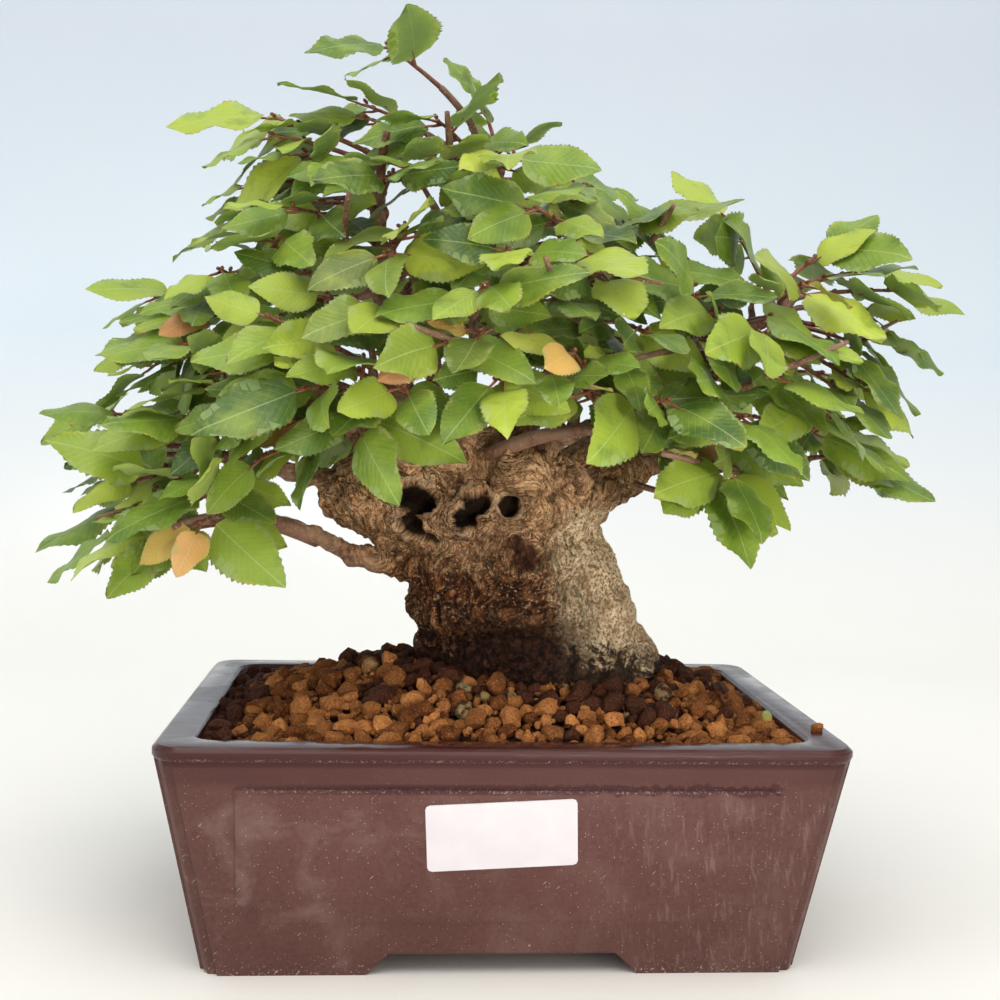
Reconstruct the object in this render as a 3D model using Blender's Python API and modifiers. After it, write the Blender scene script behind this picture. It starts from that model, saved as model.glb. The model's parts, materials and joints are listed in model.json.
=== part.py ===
"""Korean hornbeam bonsai: burl trunk, limbs and leafy sprays in a footed stoneware pot.

Blender 4.5 script. Metres, +Z up. The origin is on the ground under the pot's centre.
The front of the tree looks towards -Y.
"""
import math
import random

import bmesh
import bpy
from mathutils import Matrix, Vector, noise
from mathutils.bvhtree import BVHTree

MM = 0.001
GAP = 0.3 * MM

# Pot
POT_LENGTH = 180 * MM
POT_DEPTH = 130 * MM
POT_HEIGHT = 62 * MM
POT_TAPER = 10.6 * MM
LIP_HEIGHT = 3.6 * MM
LIP_PROUD = 0.8 * MM
LIP_CORNER = 8 * MM
LIP_ROUND = 1.2 * MM
LEDGE_WIDTH = 10 * MM
CAVITY_CORNER = 6 * MM
CAVITY_TAPER = 8.5 * MM
FLOOR_TOP = 12 * MM
POST_WIDTH = 5 * MM
POST_STEP = 1.4 * MM
POST_ROUND = 1.2 * MM
FOOT_HEIGHT = 6 * MM
FOOT_LENGTH_X = 43 * MM
FOOT_LENGTH_Y = 31 * MM
SKIRT_WALL = 9 * MM
DRAIN_HOLE_RADIUS = 8 * MM
DRAIN_HOLE_X = 38 * MM

# Raised panels on the four walls
PANEL_BOTTOM = 15.5 * MM
PANEL_TOP = 51.5 * MM
PANEL_HALF_LONG = 68.5 * MM
PANEL_HALF_SHORT = 43.5 * MM
PANEL_PROUD = 1.0 * MM
PANEL_STEP_X = 5.5 * MM
PANEL_STEP_Z = 4.5 * MM
PANEL_ROUND = 1.8 * MM
PANEL_EASE = 0.4 * MM

# Blank label on the front panel
LABEL_LENGTH = 38.5 * MM
LABEL_HEIGHT = 18.2 * MM
LABEL_THICKNESS = 0.3 * MM
LABEL_CORNER = 1.2 * MM
LABEL_CENTRE_X = -1.4 * MM
LABEL_CENTRE_Z = 39.7 * MM
LABEL_TILT = math.radians(3)

# Drainage mesh
MESH_SIDE = 26 * MM
MESH_THICKNESS = 1.2 * MM
MESH_OPENINGS = 2
MESH_BAR = 3 * MM

# Soil
SOIL_EDGE_HEIGHT = 59.5 * MM
SOIL_MOUND = 17.5 * MM
GRAIN_CELLS_X = 16
GRAIN_CELLS_Y = 10
GRAIN_RISE = 1.5 * MM
GRAIN_INSET = 1.9 * MM
GRAIN_JITTER = 0.24
GRAIN_SIZES = (0.6, 1.35)
GRAIN_TILT = 0.22
SOIL_SEED = 11

# Trunk
GROUND_HEIGHT = 77 * MM
TRUNK_FOOT_HEIGHT = 44 * MM
BURL_VOXEL = 2.2 * MM
BURL_TRIANGLES = 900
GNARL_SIZE = 11 * MM
GNARL_DEPTH = 1.6 * MM
HOLLOW_COLLAR = 1.7
COLLAR_RISE = 1.3 * MM
TWIG_ROOT_LIMIT = 1.9 * MM
TWIG_TIP_RADIUS = 0.85 * MM
TWIG_SWEEP = 0.15
TWIG_OF_LIMB = 0.62
TWIG_ROOM = 0.5 * MM
LIMB_ROOM = 0.6 * MM
BURL_ROOM = 2 * MM

# Leafy sprays
SHOOT_HALF = 0.65 * MM
SHOOT_TIP_HALF = 0.5 * MM
NODE_SPACING = 7.4 * MM
SHOOT_SAG = 0.10
SHOOT_FLATTEN = 0.55
SHOOT_TAIL = 0.6
SHOOT_OF_REACH = 0.8
SHOOT_LEAN = 0.4
SHOOT_ROOM = 0.4 * MM
FRONT_TURN = 1.1
BACK_FROM = 18 * MM
PETIOLE_LENGTH = 3.4 * MM
PETIOLE_HALF = 0.5 * MM
PETIOLE_ROOT = 1.2 * MM
LEAF_LENGTH = 25 * MM
LEAF_ASPECT = 0.58
LEAF_SIZES = (0.62, 1.16)
LEAF_ANGLE = 52
SIDE_LEAF_SWING = 16
END_LEAF_SWING = 26
LEAF_DIP = 0.04
LEAF_HANG = 0.30
LEAF_NOD = 0.34
LEAF_ROLL = 26
LEAF_DROOPS = (0.04, 0.20)
LEAF_FOLDS = (-0.02, 0.16)
LEAF_SHRINK = 0.35
LEAST_UPRIGHT = 0.25
LEAF_THICKNESS = 1.2 * MM
LEAF_CLEARANCE = 0.45 * MM
LEAF_BURL_ROOM = 1.5 * MM
LEAF_TRIES = 36
SPRAY_TRIES = 24
AIM_STEP = 0.5 * MM
SPRAY_SEED = 4

# Ellipsoids that merge into the burl: centre and radii in millimetres
BURL = [
    ((13, 0, 66), (38, 31, 19)),
    ((12, 0, 79), (32, 28, 17)),
    ((5, -1, 92), (31, 28, 17)),
    ((0, -2, 105), (30, 29, 16)),
    ((-6, -3, 117), (33, 30, 16)),
    ((-27, -3, 123), (25, 25, 14)),
    ((12, -4, 121), (19, 25, 15)),
    ((-12, 0, 130), (33, 27, 13)),
    ((31, -3, 129), (12, 11, 9)),
    ((39, -4, 75), (9, 13, 12)),
    ((-8, 11, 82), (12, 14, 11)),
    ((10, -21, 74), (13, 9, 11)),
    ((6, -27, 131), (10, 9, 9)),
]

# Hollows and healed knots on the burl: place on the bark, radius and depth in millimetres
HOLLOWS = [
    ((-24, -30, 123), 5.5, 8),
    ((-8, -33, 124.5), 4.5, 8),
    ((-11.5, -33, 118), 4.0, 7),
    ((1.5, -32, 122), 3.2, 7),
    ((-28, -30, 113), 4.6, 6),
    ((-22, -30, 109), 2.8, 4),
    ((6.5, -29, 106.5), 4.8, 4),
    ((20, 26, 112), 5.0, 7),
    ((-16, 28, 120), 4.2, 6),
]

# Limbs: points in millimetres, then the radius at the root and at the tip
LIMBS = {
    "apex": (
        [(-22, -4, 126), (-30, -7, 152), (-35, -5, 181), (-36, 0, 204), (-41, 2, 216)], 6.4, 1.2),
    "crown_right": (
        [(-33, -5, 170), (-20, 3, 192), (-9, 6, 208), (0, 5, 217)], 3.6, 1.2),
    "centre": (
        [(0, -6, 128), (12, -12, 152), (20, -14, 176), (25, -12, 190)], 4.6, 1.2),
    "right_low": (
        [(26, -4, 126), (41, -6, 133), (59, -6, 134), (77, -5, 132), (92, -5, 134)], 5.2, 1.2),
    "right_up": (
        [(20, -2, 128), (36, -10, 148), (54, -12, 162), (72, -8, 173), (86, -6, 179)], 4.6, 1.2),
    "left_low": (
        [(-26, -6, 101), (-42, -12, 105), (-53, -16, 112), (-66, -20, 117), (-80, -23, 116)], 3.6, 1.2),
    "left_mid": ([(-36, -3, 122), (-56, -7, 128), (-76, -6, 132), (-90, -2, 134)], 4.8, 1.2),
    "left_up": ([(-30, 0, 130), (-50, 0, 150), (-66, 2, 166), (-78, 4, 180)], 4.6, 1.2),
    "front_left": ([(-22, -18, 128), (-32, -34, 139), (-40, -46, 150)], 4.0, 1.3),
    "front_right": ([(4, -22, 130), (13, -38, 142), (28, -44, 146)], 4.2, 1.3),
    "front": ([(-10, -18, 132), (-12, -34, 150), (-10, -43, 166)], 3.6, 1.2),
    "back_left": ([(-28, 14, 126), (-44, 34, 142), (-58, 48, 154)], 4.6, 1.2),
    "back_right": ([(14, 14, 126), (34, 32, 142), (54, 42, 154)], 4.6, 1.2),
    "back": ([(-4, 18, 128), (-6, 38, 144), (-6, 54, 156)], 4.2, 1.2),
    "back_apex": ([(-18, 8, 130), (-20, 24, 160), (-18, 36, 186)], 4.4, 1.2),
}

# Sprays: the limb that bears each one, the tip of its shoot in millimetres, its number of
# side leaves, and how far its blades turn from lying flat (0) to facing outwards (1)
SPRAYS = [
    ("left_low", (-104, -26, 115), 4, 0.55),
    ("left_low", (-80, -43, 118), 4, 0.85),
    ("left_mid", (-107, 14, 126), 4, 0.55),
    ("left_mid", (-115, 8, 147), 4, 0.60),
    ("left_mid", (-86, -30, 145), 4, 0.65),
    ("front_left", (-64, -50, 136), 4, 0.75),
    ("left_up", (-92, -4, 162), 4, 0.50),
    ("left_up", (-101, 10, 181), 3, 0.30),
    ("left_up", (-78, -24, 186), 4, 0.55),
    ("apex", (-74, 4, 206), 4, 0.45),
    ("front_left", (-62, -48, 172), 4, 0.75),
    ("apex", (-66, 2, 233), 4, 0.60),
    ("apex", (-58, -28, 203), 4, 0.60),
    ("apex", (-56, -10, 220), 3, 0.60),
    ("apex", (-32, -38, 211), 3, 0.60),
    ("crown_right", (-34, 0, 253), 2, 0.60),
    ("crown_right", (-20, -22, 229), 4, 0.50),
    ("crown_right", (-8, 4, 236), 3, 0.40),
    ("crown_right", (0, -35, 218), 4, 0.65),
    ("crown_right", (22, 0, 216), 3, 0.40),
    ("centre", (36, -12, 203), 4, 0.45),
    ("centre", (6, -44, 203), 4, 0.70),
    ("centre", (22, -50, 186), 4, 0.75),
    ("apex", (-32, -52, 190), 4, 0.75),
    ("front", (-8, -62, 180), 4, 0.80),
    ("centre", (34, -50, 171), 3, 0.70),
    ("front_left", (-28, -64, 154), 3, 0.85),
    ("front", (-4, -64, 156), 3, 0.80),
    ("front_left", (-52, -58, 153), 4, 0.80),
    ("front_right", (14, -62, 164), 3, 0.75),
    ("front_right", (38, -58, 152), 3, 0.75),
    ("right_up", (48, -40, 184), 4, 0.60),
    ("right_up", (66, -6, 206), 4, 0.50),
    ("right_up", (95, -2, 201), 4, 0.55),
    ("right_up", (112, -14, 187), 4, 0.50),
    ("right_up", (111, -8, 173), 4, 0.55),
    ("right_up", (80, -26, 188), 3, 0.60),
    ("right_up", (66, -46, 172), 4, 0.65),
    ("right_low", (60, -50, 150), 4, 0.75),
    ("right_low", (84, -38, 154), 4, 0.65),
    ("right_low", (93, -20, 149), 4, 0.55),
    ("right_low", (102, -4, 137), 4, 0.60),
    ("right_low", (54, -36, 133), 2, 0.70),
    ("back_left", (-92, 36, 150), 3, 0.45),
    ("back_left", (-70, 57, 160), 3, 0.60),
    ("back_left", (-46, 60, 140), 3, 0.75),
    ("back_apex", (-54, 44, 198), 3, 0.50),
    ("back_apex", (-26, 56, 194), 3, 0.65),
    ("back_apex", (0, 42, 210), 3, 0.45),
    ("back_apex", (24, 44, 198), 4, 0.50),
    ("back", (-4, 60, 172), 4, 0.70),
    ("back_right", (36, 57, 162), 4, 0.65),
    ("back_right", (68, 52, 168), 3, 0.50),
    ("back_right", (92, 36, 160), 4, 0.50),
]
CROWN_CENTRE = Vector((0, 0, 140 * MM))

# Each side of a blade: place along the midrib and half width, teeth and notches in turn
BLADE_RIM = [(0.16, 0.86), (0.27, 0.80), (0.45, 1.00), (0.56, 0.80), (0.76, 0.62)]
BLADE_MIDRIB = [0.34, 0.68]


def clear_scene():
    for item in list(bpy.data.objects):
        bpy.data.objects.remove(item, do_unlink=True)


def make_collection(name):
    group = bpy.data.collections.new(name)
    bpy.context.scene.collection.children.link(group)
    return group


def material(name, colour, roughness, metallic=0.0):
    finish = bpy.data.materials.new(name)
    finish.use_nodes = True
    shader = finish.node_tree.nodes["Principled BSDF"]
    shader.inputs["Base Color"].default_value = (*colour, 1.0)
    shader.inputs["Roughness"].default_value = roughness
    shader.inputs["Metallic"].default_value = metallic
    finish.diffuse_color = (*colour, 1.0)
    return finish


def place(name, mesh, group, finish=None):
    mesh.name = name
    thing = bpy.data.objects.new(name, mesh)
    group.objects.link(thing)
    if finish is not None:
        mesh.materials.clear()
        mesh.materials.append(finish)
    return thing


def mesh_from(bm, name):
    """Turns the faces outwards and keeps the result as a mesh."""
    bmesh.ops.recalc_face_normals(bm, faces=bm.faces)
    if bm.calc_volume(signed=True) < 0:
        bmesh.ops.reverse_faces(bm, faces=bm.faces)
    mesh = bpy.data.meshes.new(name)
    bm.to_mesh(mesh)
    bm.free()
    return mesh


def evaluated_mesh(thing):
    """The object's mesh with its modifiers applied, in world space."""
    bpy.context.view_layer.update()
    graph = bpy.context.evaluated_depsgraph_get()
    mesh = bpy.data.meshes.new_from_object(thing.evaluated_get(graph))
    mesh.transform(thing.matrix_world)
    return mesh


def bake(thing):
    """Applies the modifiers and the transform of a mesh or curve and returns a mesh object."""
    mesh = evaluated_mesh(thing)
    bm = bmesh.new()
    bm.from_mesh(mesh)
    bmesh.ops.remove_doubles(bm, verts=bm.verts, dist=0.001 * MM)
    bmesh.ops.recalc_face_normals(bm, faces=bm.faces)
    bm.to_mesh(mesh)
    bm.free()
    name = thing.name
    group = thing.users_collection[0]
    finish = [slot.material for slot in thing.material_slots]
    bpy.data.objects.remove(thing, do_unlink=True)
    baked = place(name, mesh, group, finish[0] if finish else None)
    return baked


def cut(thing, tool, operation="DIFFERENCE"):
    """A Boolean with another object, applied, after which the tool is removed."""
    step = thing.modifiers.new(operation.title(), "BOOLEAN")
    step.operation = operation
    step.solver = "EXACT"
    step.object = tool
    result = bake(thing)
    bpy.data.objects.remove(tool, do_unlink=True)
    return result


def loft(name, rings, group, finish=None):
    """A closed solid through rings of equal point count, capped at both ends."""
    bm = bmesh.new()
    loops = [[bm.verts.new(point) for point in ring] for ring in rings]
    for lower, upper in zip(loops, loops[1:]):
        for here in range(len(lower)):
            after = (here + 1) % len(lower)
            bm.faces.new((lower[here], lower[after], upper[after], upper[here]))
    bm.faces.new(list(reversed(loops[0])))
    bm.faces.new(loops[-1])
    return place(name, mesh_from(bm, name), group, finish)


def box(name, size, centre, group):
    bm = bmesh.new()
    bmesh.ops.create_cube(bm, size=1.0)
    bmesh.ops.scale(bm, verts=bm.verts, vec=size)
    bmesh.ops.translate(bm, verts=bm.verts, vec=centre)
    return place(name, mesh_from(bm, name), group)


def four_corners(quarter, height):
    """Mirrors the points of the +X +Y corner to a full ring, counter-clockwise."""
    ring = list(quarter)
    ring += [(-x, y) for x, y in reversed(quarter)]
    ring += [(-x, -y) for x, y in quarter]
    ring += [(x, -y) for x, y in reversed(quarter)]
    return [Vector((x, y, height)) for x, y in ring]


def rounded_ring(half_x, half_y, radius, height, corner_points=6):
    quarter = []
    for step in range(corner_points):
        angle = math.radians(90 * step / (corner_points - 1))
        x = half_x - radius + radius * math.cos(angle)
        y = half_y - radius + radius * math.sin(angle)
        quarter.append((x, y))
    return four_corners(quarter, height)


def stepped_ring(half_x, half_y, height):
    """The wall's outline, whose corner post is set back from both faces."""
    ease = 0.3 * MM
    quarter = [
        (half_x, half_y - POST_WIDTH),
        (half_x - POST_STEP, half_y - POST_WIDTH + ease),
        (half_x - POST_STEP, half_y - POST_STEP - POST_ROUND),
        (half_x - POST_STEP - POST_ROUND, half_y - POST_STEP),
        (half_x - POST_WIDTH + ease, half_y - POST_STEP),
        (half_x - POST_WIDTH, half_y),
    ]
    return four_corners(quarter, height)


def wall_inset(height):
    """How far the outer wall lies inside the rim at this height."""
    return LIP_PROUD + POT_TAPER * (1 - height / (POT_HEIGHT - LIP_HEIGHT))


def cavity_half(height):
    """Half sizes of the planting cavity at this height."""
    share = (POT_HEIGHT - height) / (POT_HEIGHT - FLOOR_TOP)
    half_x = POT_LENGTH / 2 - LEDGE_WIDTH - CAVITY_TAPER * share
    half_y = POT_DEPTH / 2 - LEDGE_WIDTH - CAVITY_TAPER * share
    return half_x, half_y


def foot_cutter(name, opening, length, along_x, group):
    """A bar whose sides slope at 45 degrees, that parts two feet."""
    half = opening / 2
    below = 2 * MM
    profile = [
        (-half - below, -below),
        (half + below, -below),
        (half - FOOT_HEIGHT, FOOT_HEIGHT),
        (-half + FOOT_HEIGHT, FOOT_HEIGHT),
    ]
    rings = []
    for end in (-length / 2, length / 2):
        if along_x:
            rings.append([Vector((end, side, height)) for side, height in profile])
        else:
            rings.append([Vector((side, end, height)) for side, height in profile])
    return loft(name, rings, group)


def panel_outline(half, height):
    """A panel with plain upper corners and lower corners notched in two rounded steps."""
    def arc(centre_x, centre_z, start):
        points = []
        for step in range(3):
            angle = math.radians(start + 45 * step)
            x = centre_x + PANEL_ROUND * math.cos(angle)
            z = centre_z + PANEL_ROUND * math.sin(angle)
            points.append((x, z))
        return points

    right = [(half, height)]
    right += reversed(arc(half - PANEL_ROUND, PANEL_STEP_Z + PANEL_ROUND, 270))
    right += [(half - PANEL_STEP_X, PANEL_STEP_Z - PANEL_EASE)]
    right += reversed(arc(half - PANEL_STEP_X - PANEL_ROUND, PANEL_ROUND, 270))
    left = [(-x, z) for x, z in reversed(right)]
    return right + left


def slab(name, outline, thickness, group):
    """A flat outline in the XY plane, made solid to both sides of it."""
    curve = bpy.data.curves.new(name, "CURVE")
    curve.dimensions = "2D"
    curve.fill_mode = "BOTH"
    curve.extrude = thickness / 2
    spline = curve.splines.new("POLY")
    spline.points.add(len(outline) - 1)
    for point, (x, z) in zip(spline.points, outline):
        point.co = (x, z, 0, 1)
    spline.use_cyclic_u = True
    thing = bpy.data.objects.new(name, curve)
    group.objects.link(thing)
    return thing


def wall_slope():
    return math.atan2(POT_TAPER, POT_HEIGHT - LIP_HEIGHT)


def on_wall(side, height, lift):
    """Matrix of a slab on one wall: side 0 is the front, then counter-clockwise."""
    half = POT_DEPTH / 2 if side % 2 == 0 else POT_LENGTH / 2
    distance = half - wall_inset(height)
    lean = Matrix.Rotation(wall_slope(), 4, "X")
    stand = Matrix.Rotation(math.radians(90), 4, "X")
    offset = Matrix.Translation((0, 0, lift))
    turn = Matrix.Rotation(math.radians(90 * side), 4, "Z")
    return turn @ Matrix.Translation((0, -distance, height)) @ lean @ stand @ offset


def build_pot(group, cutters, finish):
    half_x = POT_LENGTH / 2
    half_y = POT_DEPTH / 2
    wall_top = POT_HEIGHT - LIP_HEIGHT
    soften = 0.8 * MM
    rings = []
    for height in (0.0, wall_top):
        inset = wall_inset(height)
        rings.append(stepped_ring(half_x - inset, half_y - inset, height))
    lip = [
        (0.6 * LIP_PROUD, wall_top + 0.1 * MM),
        (0, wall_top + 1.0 * MM),
        (0, POT_HEIGHT - LIP_ROUND),
        (LIP_ROUND, POT_HEIGHT),
    ]
    for inset, height in lip:
        rings.append(rounded_ring(half_x - inset, half_y - inset, LIP_CORNER - inset, height))
    inner_x, inner_y = cavity_half(POT_HEIGHT)
    rings.append(rounded_ring(inner_x + soften, inner_y + soften, CAVITY_CORNER + soften, POT_HEIGHT))
    for height in (POT_HEIGHT - soften, FLOOR_TOP):
        inner_x, inner_y = cavity_half(height)
        rings.append(rounded_ring(inner_x, inner_y, CAVITY_CORNER, height))
    pot = loft("pot", rings, group, finish)

    for side in range(4):
        half = PANEL_HALF_LONG if side % 2 == 0 else PANEL_HALF_SHORT
        height = (PANEL_TOP - PANEL_BOTTOM) / math.cos(wall_slope())
        panel = slab("panel", panel_outline(half, height), 3 * PANEL_PROUD, cutters)
        panel.matrix_world = on_wall(side, PANEL_BOTTOM, -0.5 * PANEL_PROUD)
        pot = cut(pot, bake(panel), "UNION")

    foot_x = 2 * (half_x - wall_inset(0) - FOOT_LENGTH_X)
    foot_y = 2 * (half_y - wall_inset(0) - FOOT_LENGTH_Y)
    pot = cut(pot, foot_cutter("front_notch", foot_x, POT_DEPTH * 1.2, False, cutters))
    pot = cut(pot, foot_cutter("side_notch", foot_y, POT_LENGTH * 1.2, True, cutters))
    skirt = wall_inset(0) + SKIRT_WALL
    recess = (2 * (half_x - skirt), 2 * (half_y - skirt), 2 * FOOT_HEIGHT)
    pot = cut(pot, box("underside", recess, (0, 0, 0), cutters))
    for side in (-1, 1):
        bm = bmesh.new()
        bmesh.ops.create_cone(bm, cap_ends=True, segments=16, radius1=DRAIN_HOLE_RADIUS,
                              radius2=DRAIN_HOLE_RADIUS, depth=3 * FLOOR_TOP)
        bmesh.ops.translate(bm, verts=bm.verts, vec=(side * DRAIN_HOLE_X, 0, 0))
        pot = cut(pot, place("drain", mesh_from(bm, "drain"), cutters))
    return pot


def build_label(group, finish):
    """A blank paper label with rounded corners, flat on the front panel."""
    ring = rounded_ring(LABEL_LENGTH / 2, LABEL_HEIGHT / 2, LABEL_CORNER, 0, corner_points=3)
    outline = [(point.x, point.y) for point in ring]
    label = slab("label", outline, LABEL_THICKNESS, group)
    label.data.materials.append(finish)
    lift = PANEL_PROUD + GAP + LABEL_THICKNESS / 2
    label.matrix_world = (on_wall(0, LABEL_CENTRE_Z, lift)
                          @ Matrix.Translation((LABEL_CENTRE_X, 0, 0)) @ Matrix.Rotation(LABEL_TILT, 4, "Z"))
    return bake(label)


def build_drain_mesh(name, centre_x, group, cutters, finish):
    """A square of plastic mesh that lies on the pot's floor over a drainage hole."""
    bottom = FLOOR_TOP + GAP
    middle = bottom + MESH_THICKNESS / 2
    plate = box(name, (MESH_SIDE, MESH_SIDE, MESH_THICKNESS), (centre_x, 0, middle), group)
    plate.data.materials.append(finish)
    opening = (MESH_SIDE - MESH_BAR * (MESH_OPENINGS + 1)) / MESH_OPENINGS
    pitch = opening + MESH_BAR
    bm = bmesh.new()
    for column in range(MESH_OPENINGS):
        for row in range(MESH_OPENINGS):
            x = centre_x + (column - (MESH_OPENINGS - 1) / 2) * pitch
            y = (row - (MESH_OPENINGS - 1) / 2) * pitch
            stretch = Matrix.Diagonal((opening, opening, 3 * MESH_THICKNESS, 1))
            bmesh.ops.create_cube(bm, size=1.0, matrix=Matrix.Translation((x, y, middle)) @ stretch)
    return cut(plate, place("openings", mesh_from(bm, "openings"), cutters))


def mound_height(x, y):
    """The soil's height before its grains: highest round the trunk, level with the rim outside."""
    half_x, half_y = cavity_half(SOIL_EDGE_HEIGHT)
    centre = 12 * MM
    reach = math.hypot((x - centre) / (half_x + math.copysign(centre, centre - x)), y / half_y)
    return SOIL_EDGE_HEIGHT + SOIL_MOUND * (1 - min(reach, 1.0) ** 2)


def build_soil(trunk_ring, group, cutters, finish):
    """The clay soil: a block that fills the cavity, its grains raised from a jittered grid."""
    draw = random.Random(SOIL_SEED)
    half_x, half_y = cavity_half(SOIL_EDGE_HEIGHT)
    half_x -= GAP
    half_y -= GAP
    bm = bmesh.new()
    bmesh.ops.create_grid(bm, x_segments=GRAIN_CELLS_X, y_segments=GRAIN_CELLS_Y, size=1.0)
    cell = 2 * half_x / GRAIN_CELLS_X
    for vert in bm.verts:
        x = vert.co.x * half_x
        y = vert.co.y * half_y
        edge_x = abs(vert.co.x) > 0.999
        edge_y = abs(vert.co.y) > 0.999
        if not edge_x:
            x += draw.uniform(-GRAIN_JITTER, GRAIN_JITTER) * cell
        if not edge_y:
            y += draw.uniform(-GRAIN_JITTER, GRAIN_JITTER) * cell
        if edge_x and edge_y:
            corner = (1 - math.sqrt(0.5)) * CAVITY_CORNER + 0.2 * MM
            x -= math.copysign(corner, x)
            y -= math.copysign(corner, y)
        vert.co = (x, y, mound_height(x, y))
    grains = list(bm.faces)
    bmesh.ops.inset_individual(bm, faces=grains, thickness=GRAIN_INSET, use_even_offset=True)
    rim = [edge for edge in bm.edges if edge.is_boundary]
    for grain in grains:
        rise = GRAIN_RISE * draw.uniform(*GRAIN_SIZES)
        tilt_x = draw.uniform(-GRAIN_TILT, GRAIN_TILT)
        tilt_y = draw.uniform(-GRAIN_TILT, GRAIN_TILT)
        centre = grain.calc_center_median()
        for vert in grain.verts:
            away = vert.co - centre
            vert.co.z += rise + tilt_x * away.x + tilt_y * away.y
    floor = FLOOR_TOP + GAP
    floor_x, floor_y = cavity_half(floor)
    skirt = bmesh.ops.extrude_edge_only(bm, edges=rim)["geom"]
    low = [item for item in skirt if isinstance(item, bmesh.types.BMVert)]
    for vert in low:
        vert.co.x *= (floor_x - GAP) / half_x
        vert.co.y *= (floor_y - GAP) / half_y
        vert.co.z = floor
    bmesh.ops.contextual_create(bm, geom=[edge for edge in bm.edges if edge.is_boundary])
    soil = place("soil", mesh_from(bm, "soil"), group, finish)

    centre = sum(trunk_ring, Vector()) / len(trunk_ring)
    hole = []
    for height in (TRUNK_FOOT_HEIGHT - GAP, GROUND_HEIGHT + 20 * MM):
        ring = []
        for point in trunk_ring:
            away = point - centre
            away.z = 0
            wide = centre + away + away.normalized() * GAP * 1.3
            ring.append(Vector((wide.x, wide.y, height)))
        hole.append(ring)
    soil = cut(soil, loft("trunk_hole", hole, cutters))
    pocket = MESH_SIDE + 2 * GAP
    for side in (-1, 1):
        size = (pocket, pocket, 2 * (MESH_THICKNESS + GAP))
        soil = cut(soil, box("pocket", size, (side * DRAIN_HOLE_X, 0, floor), cutters))
    return soil


def build_burl(group, finish):
    """The trunk's swollen body, with its gnarls and hollows, standing on a plain foot."""
    bm = bmesh.new()
    for centre, radii in BURL:
        fit = Matrix.Translation(Vector(centre) * MM) @ Matrix.Diagonal((*(Vector(radii) * MM), 1))
        bmesh.ops.create_icosphere(bm, subdivisions=3, radius=1.0, matrix=fit)
    burl = place("trunk", mesh_from(bm, "trunk"), group, finish)
    remesh = burl.modifiers.new("Remesh", "REMESH")
    remesh.mode = "VOXEL"
    remesh.voxel_size = BURL_VOXEL
    smooth = burl.modifiers.new("Smooth", "SMOOTH")
    smooth.factor = 0.5
    smooth.iterations = 6
    burl = bake(burl)

    bm = bmesh.new()
    bm.from_mesh(burl.data)
    bm.normal_update()
    moves = []
    for vert in bm.verts:
        gnarl = noise.noise(vert.co / GNARL_SIZE) * GNARL_DEPTH
        gnarl += noise.noise(vert.co / (0.45 * GNARL_SIZE)) * 0.5 * GNARL_DEPTH
        for place_on_bark, radius, depth in HOLLOWS:
            centre = Vector(place_on_bark) * MM
            away = (vert.co - centre).length / (radius * MM)
            if away < 1.0:
                gnarl -= depth * MM * (1 - away ** 3)
            elif away < HOLLOW_COLLAR:
                gnarl += COLLAR_RISE * (HOLLOW_COLLAR - away)
        moves.append(vert.normal * gnarl)
    for vert, move in zip(bm.verts, moves):
        vert.co += move
    bm.to_mesh(burl.data)
    bm.free()
    thin = burl.modifiers.new("Decimate", "DECIMATE")
    thin.ratio = BURL_TRIANGLES / (2 * len(burl.data.polygons))
    burl = bake(burl)

    bm = bmesh.new()
    bm.from_mesh(burl.data)
    ground = (0, 0, GROUND_HEIGHT)
    whole = list(bm.verts) + list(bm.edges) + list(bm.faces)
    bmesh.ops.bisect_plane(bm, geom=whole, dist=0.02 * MM, plane_co=ground,
                           plane_no=(0, 0, 1), clear_inner=True)
    rim = [edge for edge in bm.edges if edge.is_boundary]
    ring = ordered_ring(rim)
    grown = bmesh.ops.extrude_edge_only(bm, edges=rim)["geom"]
    for item in grown:
        if isinstance(item, bmesh.types.BMVert):
            item.co.z = TRUNK_FOOT_HEIGHT
    bmesh.ops.contextual_create(bm, geom=[edge for edge in bm.edges if edge.is_boundary])
    bmesh.ops.recalc_face_normals(bm, faces=bm.faces)
    bm.to_mesh(burl.data)
    bm.free()
    return burl, ring


def ordered_ring(edges):
    """The points of one closed loop of edges, in order."""
    here = edges[0].verts[0]
    ring = []
    left = set(edges)
    while left:
        ring.append(here.co.copy())
        step = next((edge for edge in here.link_edges if edge in left), None)
        if step is None:
            break
        left.remove(step)
        here = step.other_vert(here)
    return ring


def tube(name, points, radii, resolution, group):
    """A tapering tube through the points, as a mesh with closed flat ends."""
    curve = bpy.data.curves.new(name, "CURVE")
    curve.dimensions = "3D"
    curve.bevel_depth = 1.0
    curve.bevel_resolution = resolution
    curve.use_fill_caps = True
    spline = curve.splines.new("POLY")
    spline.points.add(len(points) - 1)
    for point, place_on, radius in zip(spline.points, points, radii):
        point.co = (*place_on, 1)
        point.radius = radius
    thing = bpy.data.objects.new(name, curve)
    group.objects.link(thing)
    return bake(thing)


def limb_paths():
    """Each limb as a list of points with a radius, in metres."""
    paths = {}
    for name, (points, root, tip) in LIMBS.items():
        path = []
        for step, point in enumerate(points):
            share = step / (len(points) - 1)
            path.append((Vector(point) * MM, (root + (tip - root) * share ** 0.7) * MM))
        paths[name] = path
    return paths


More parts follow.
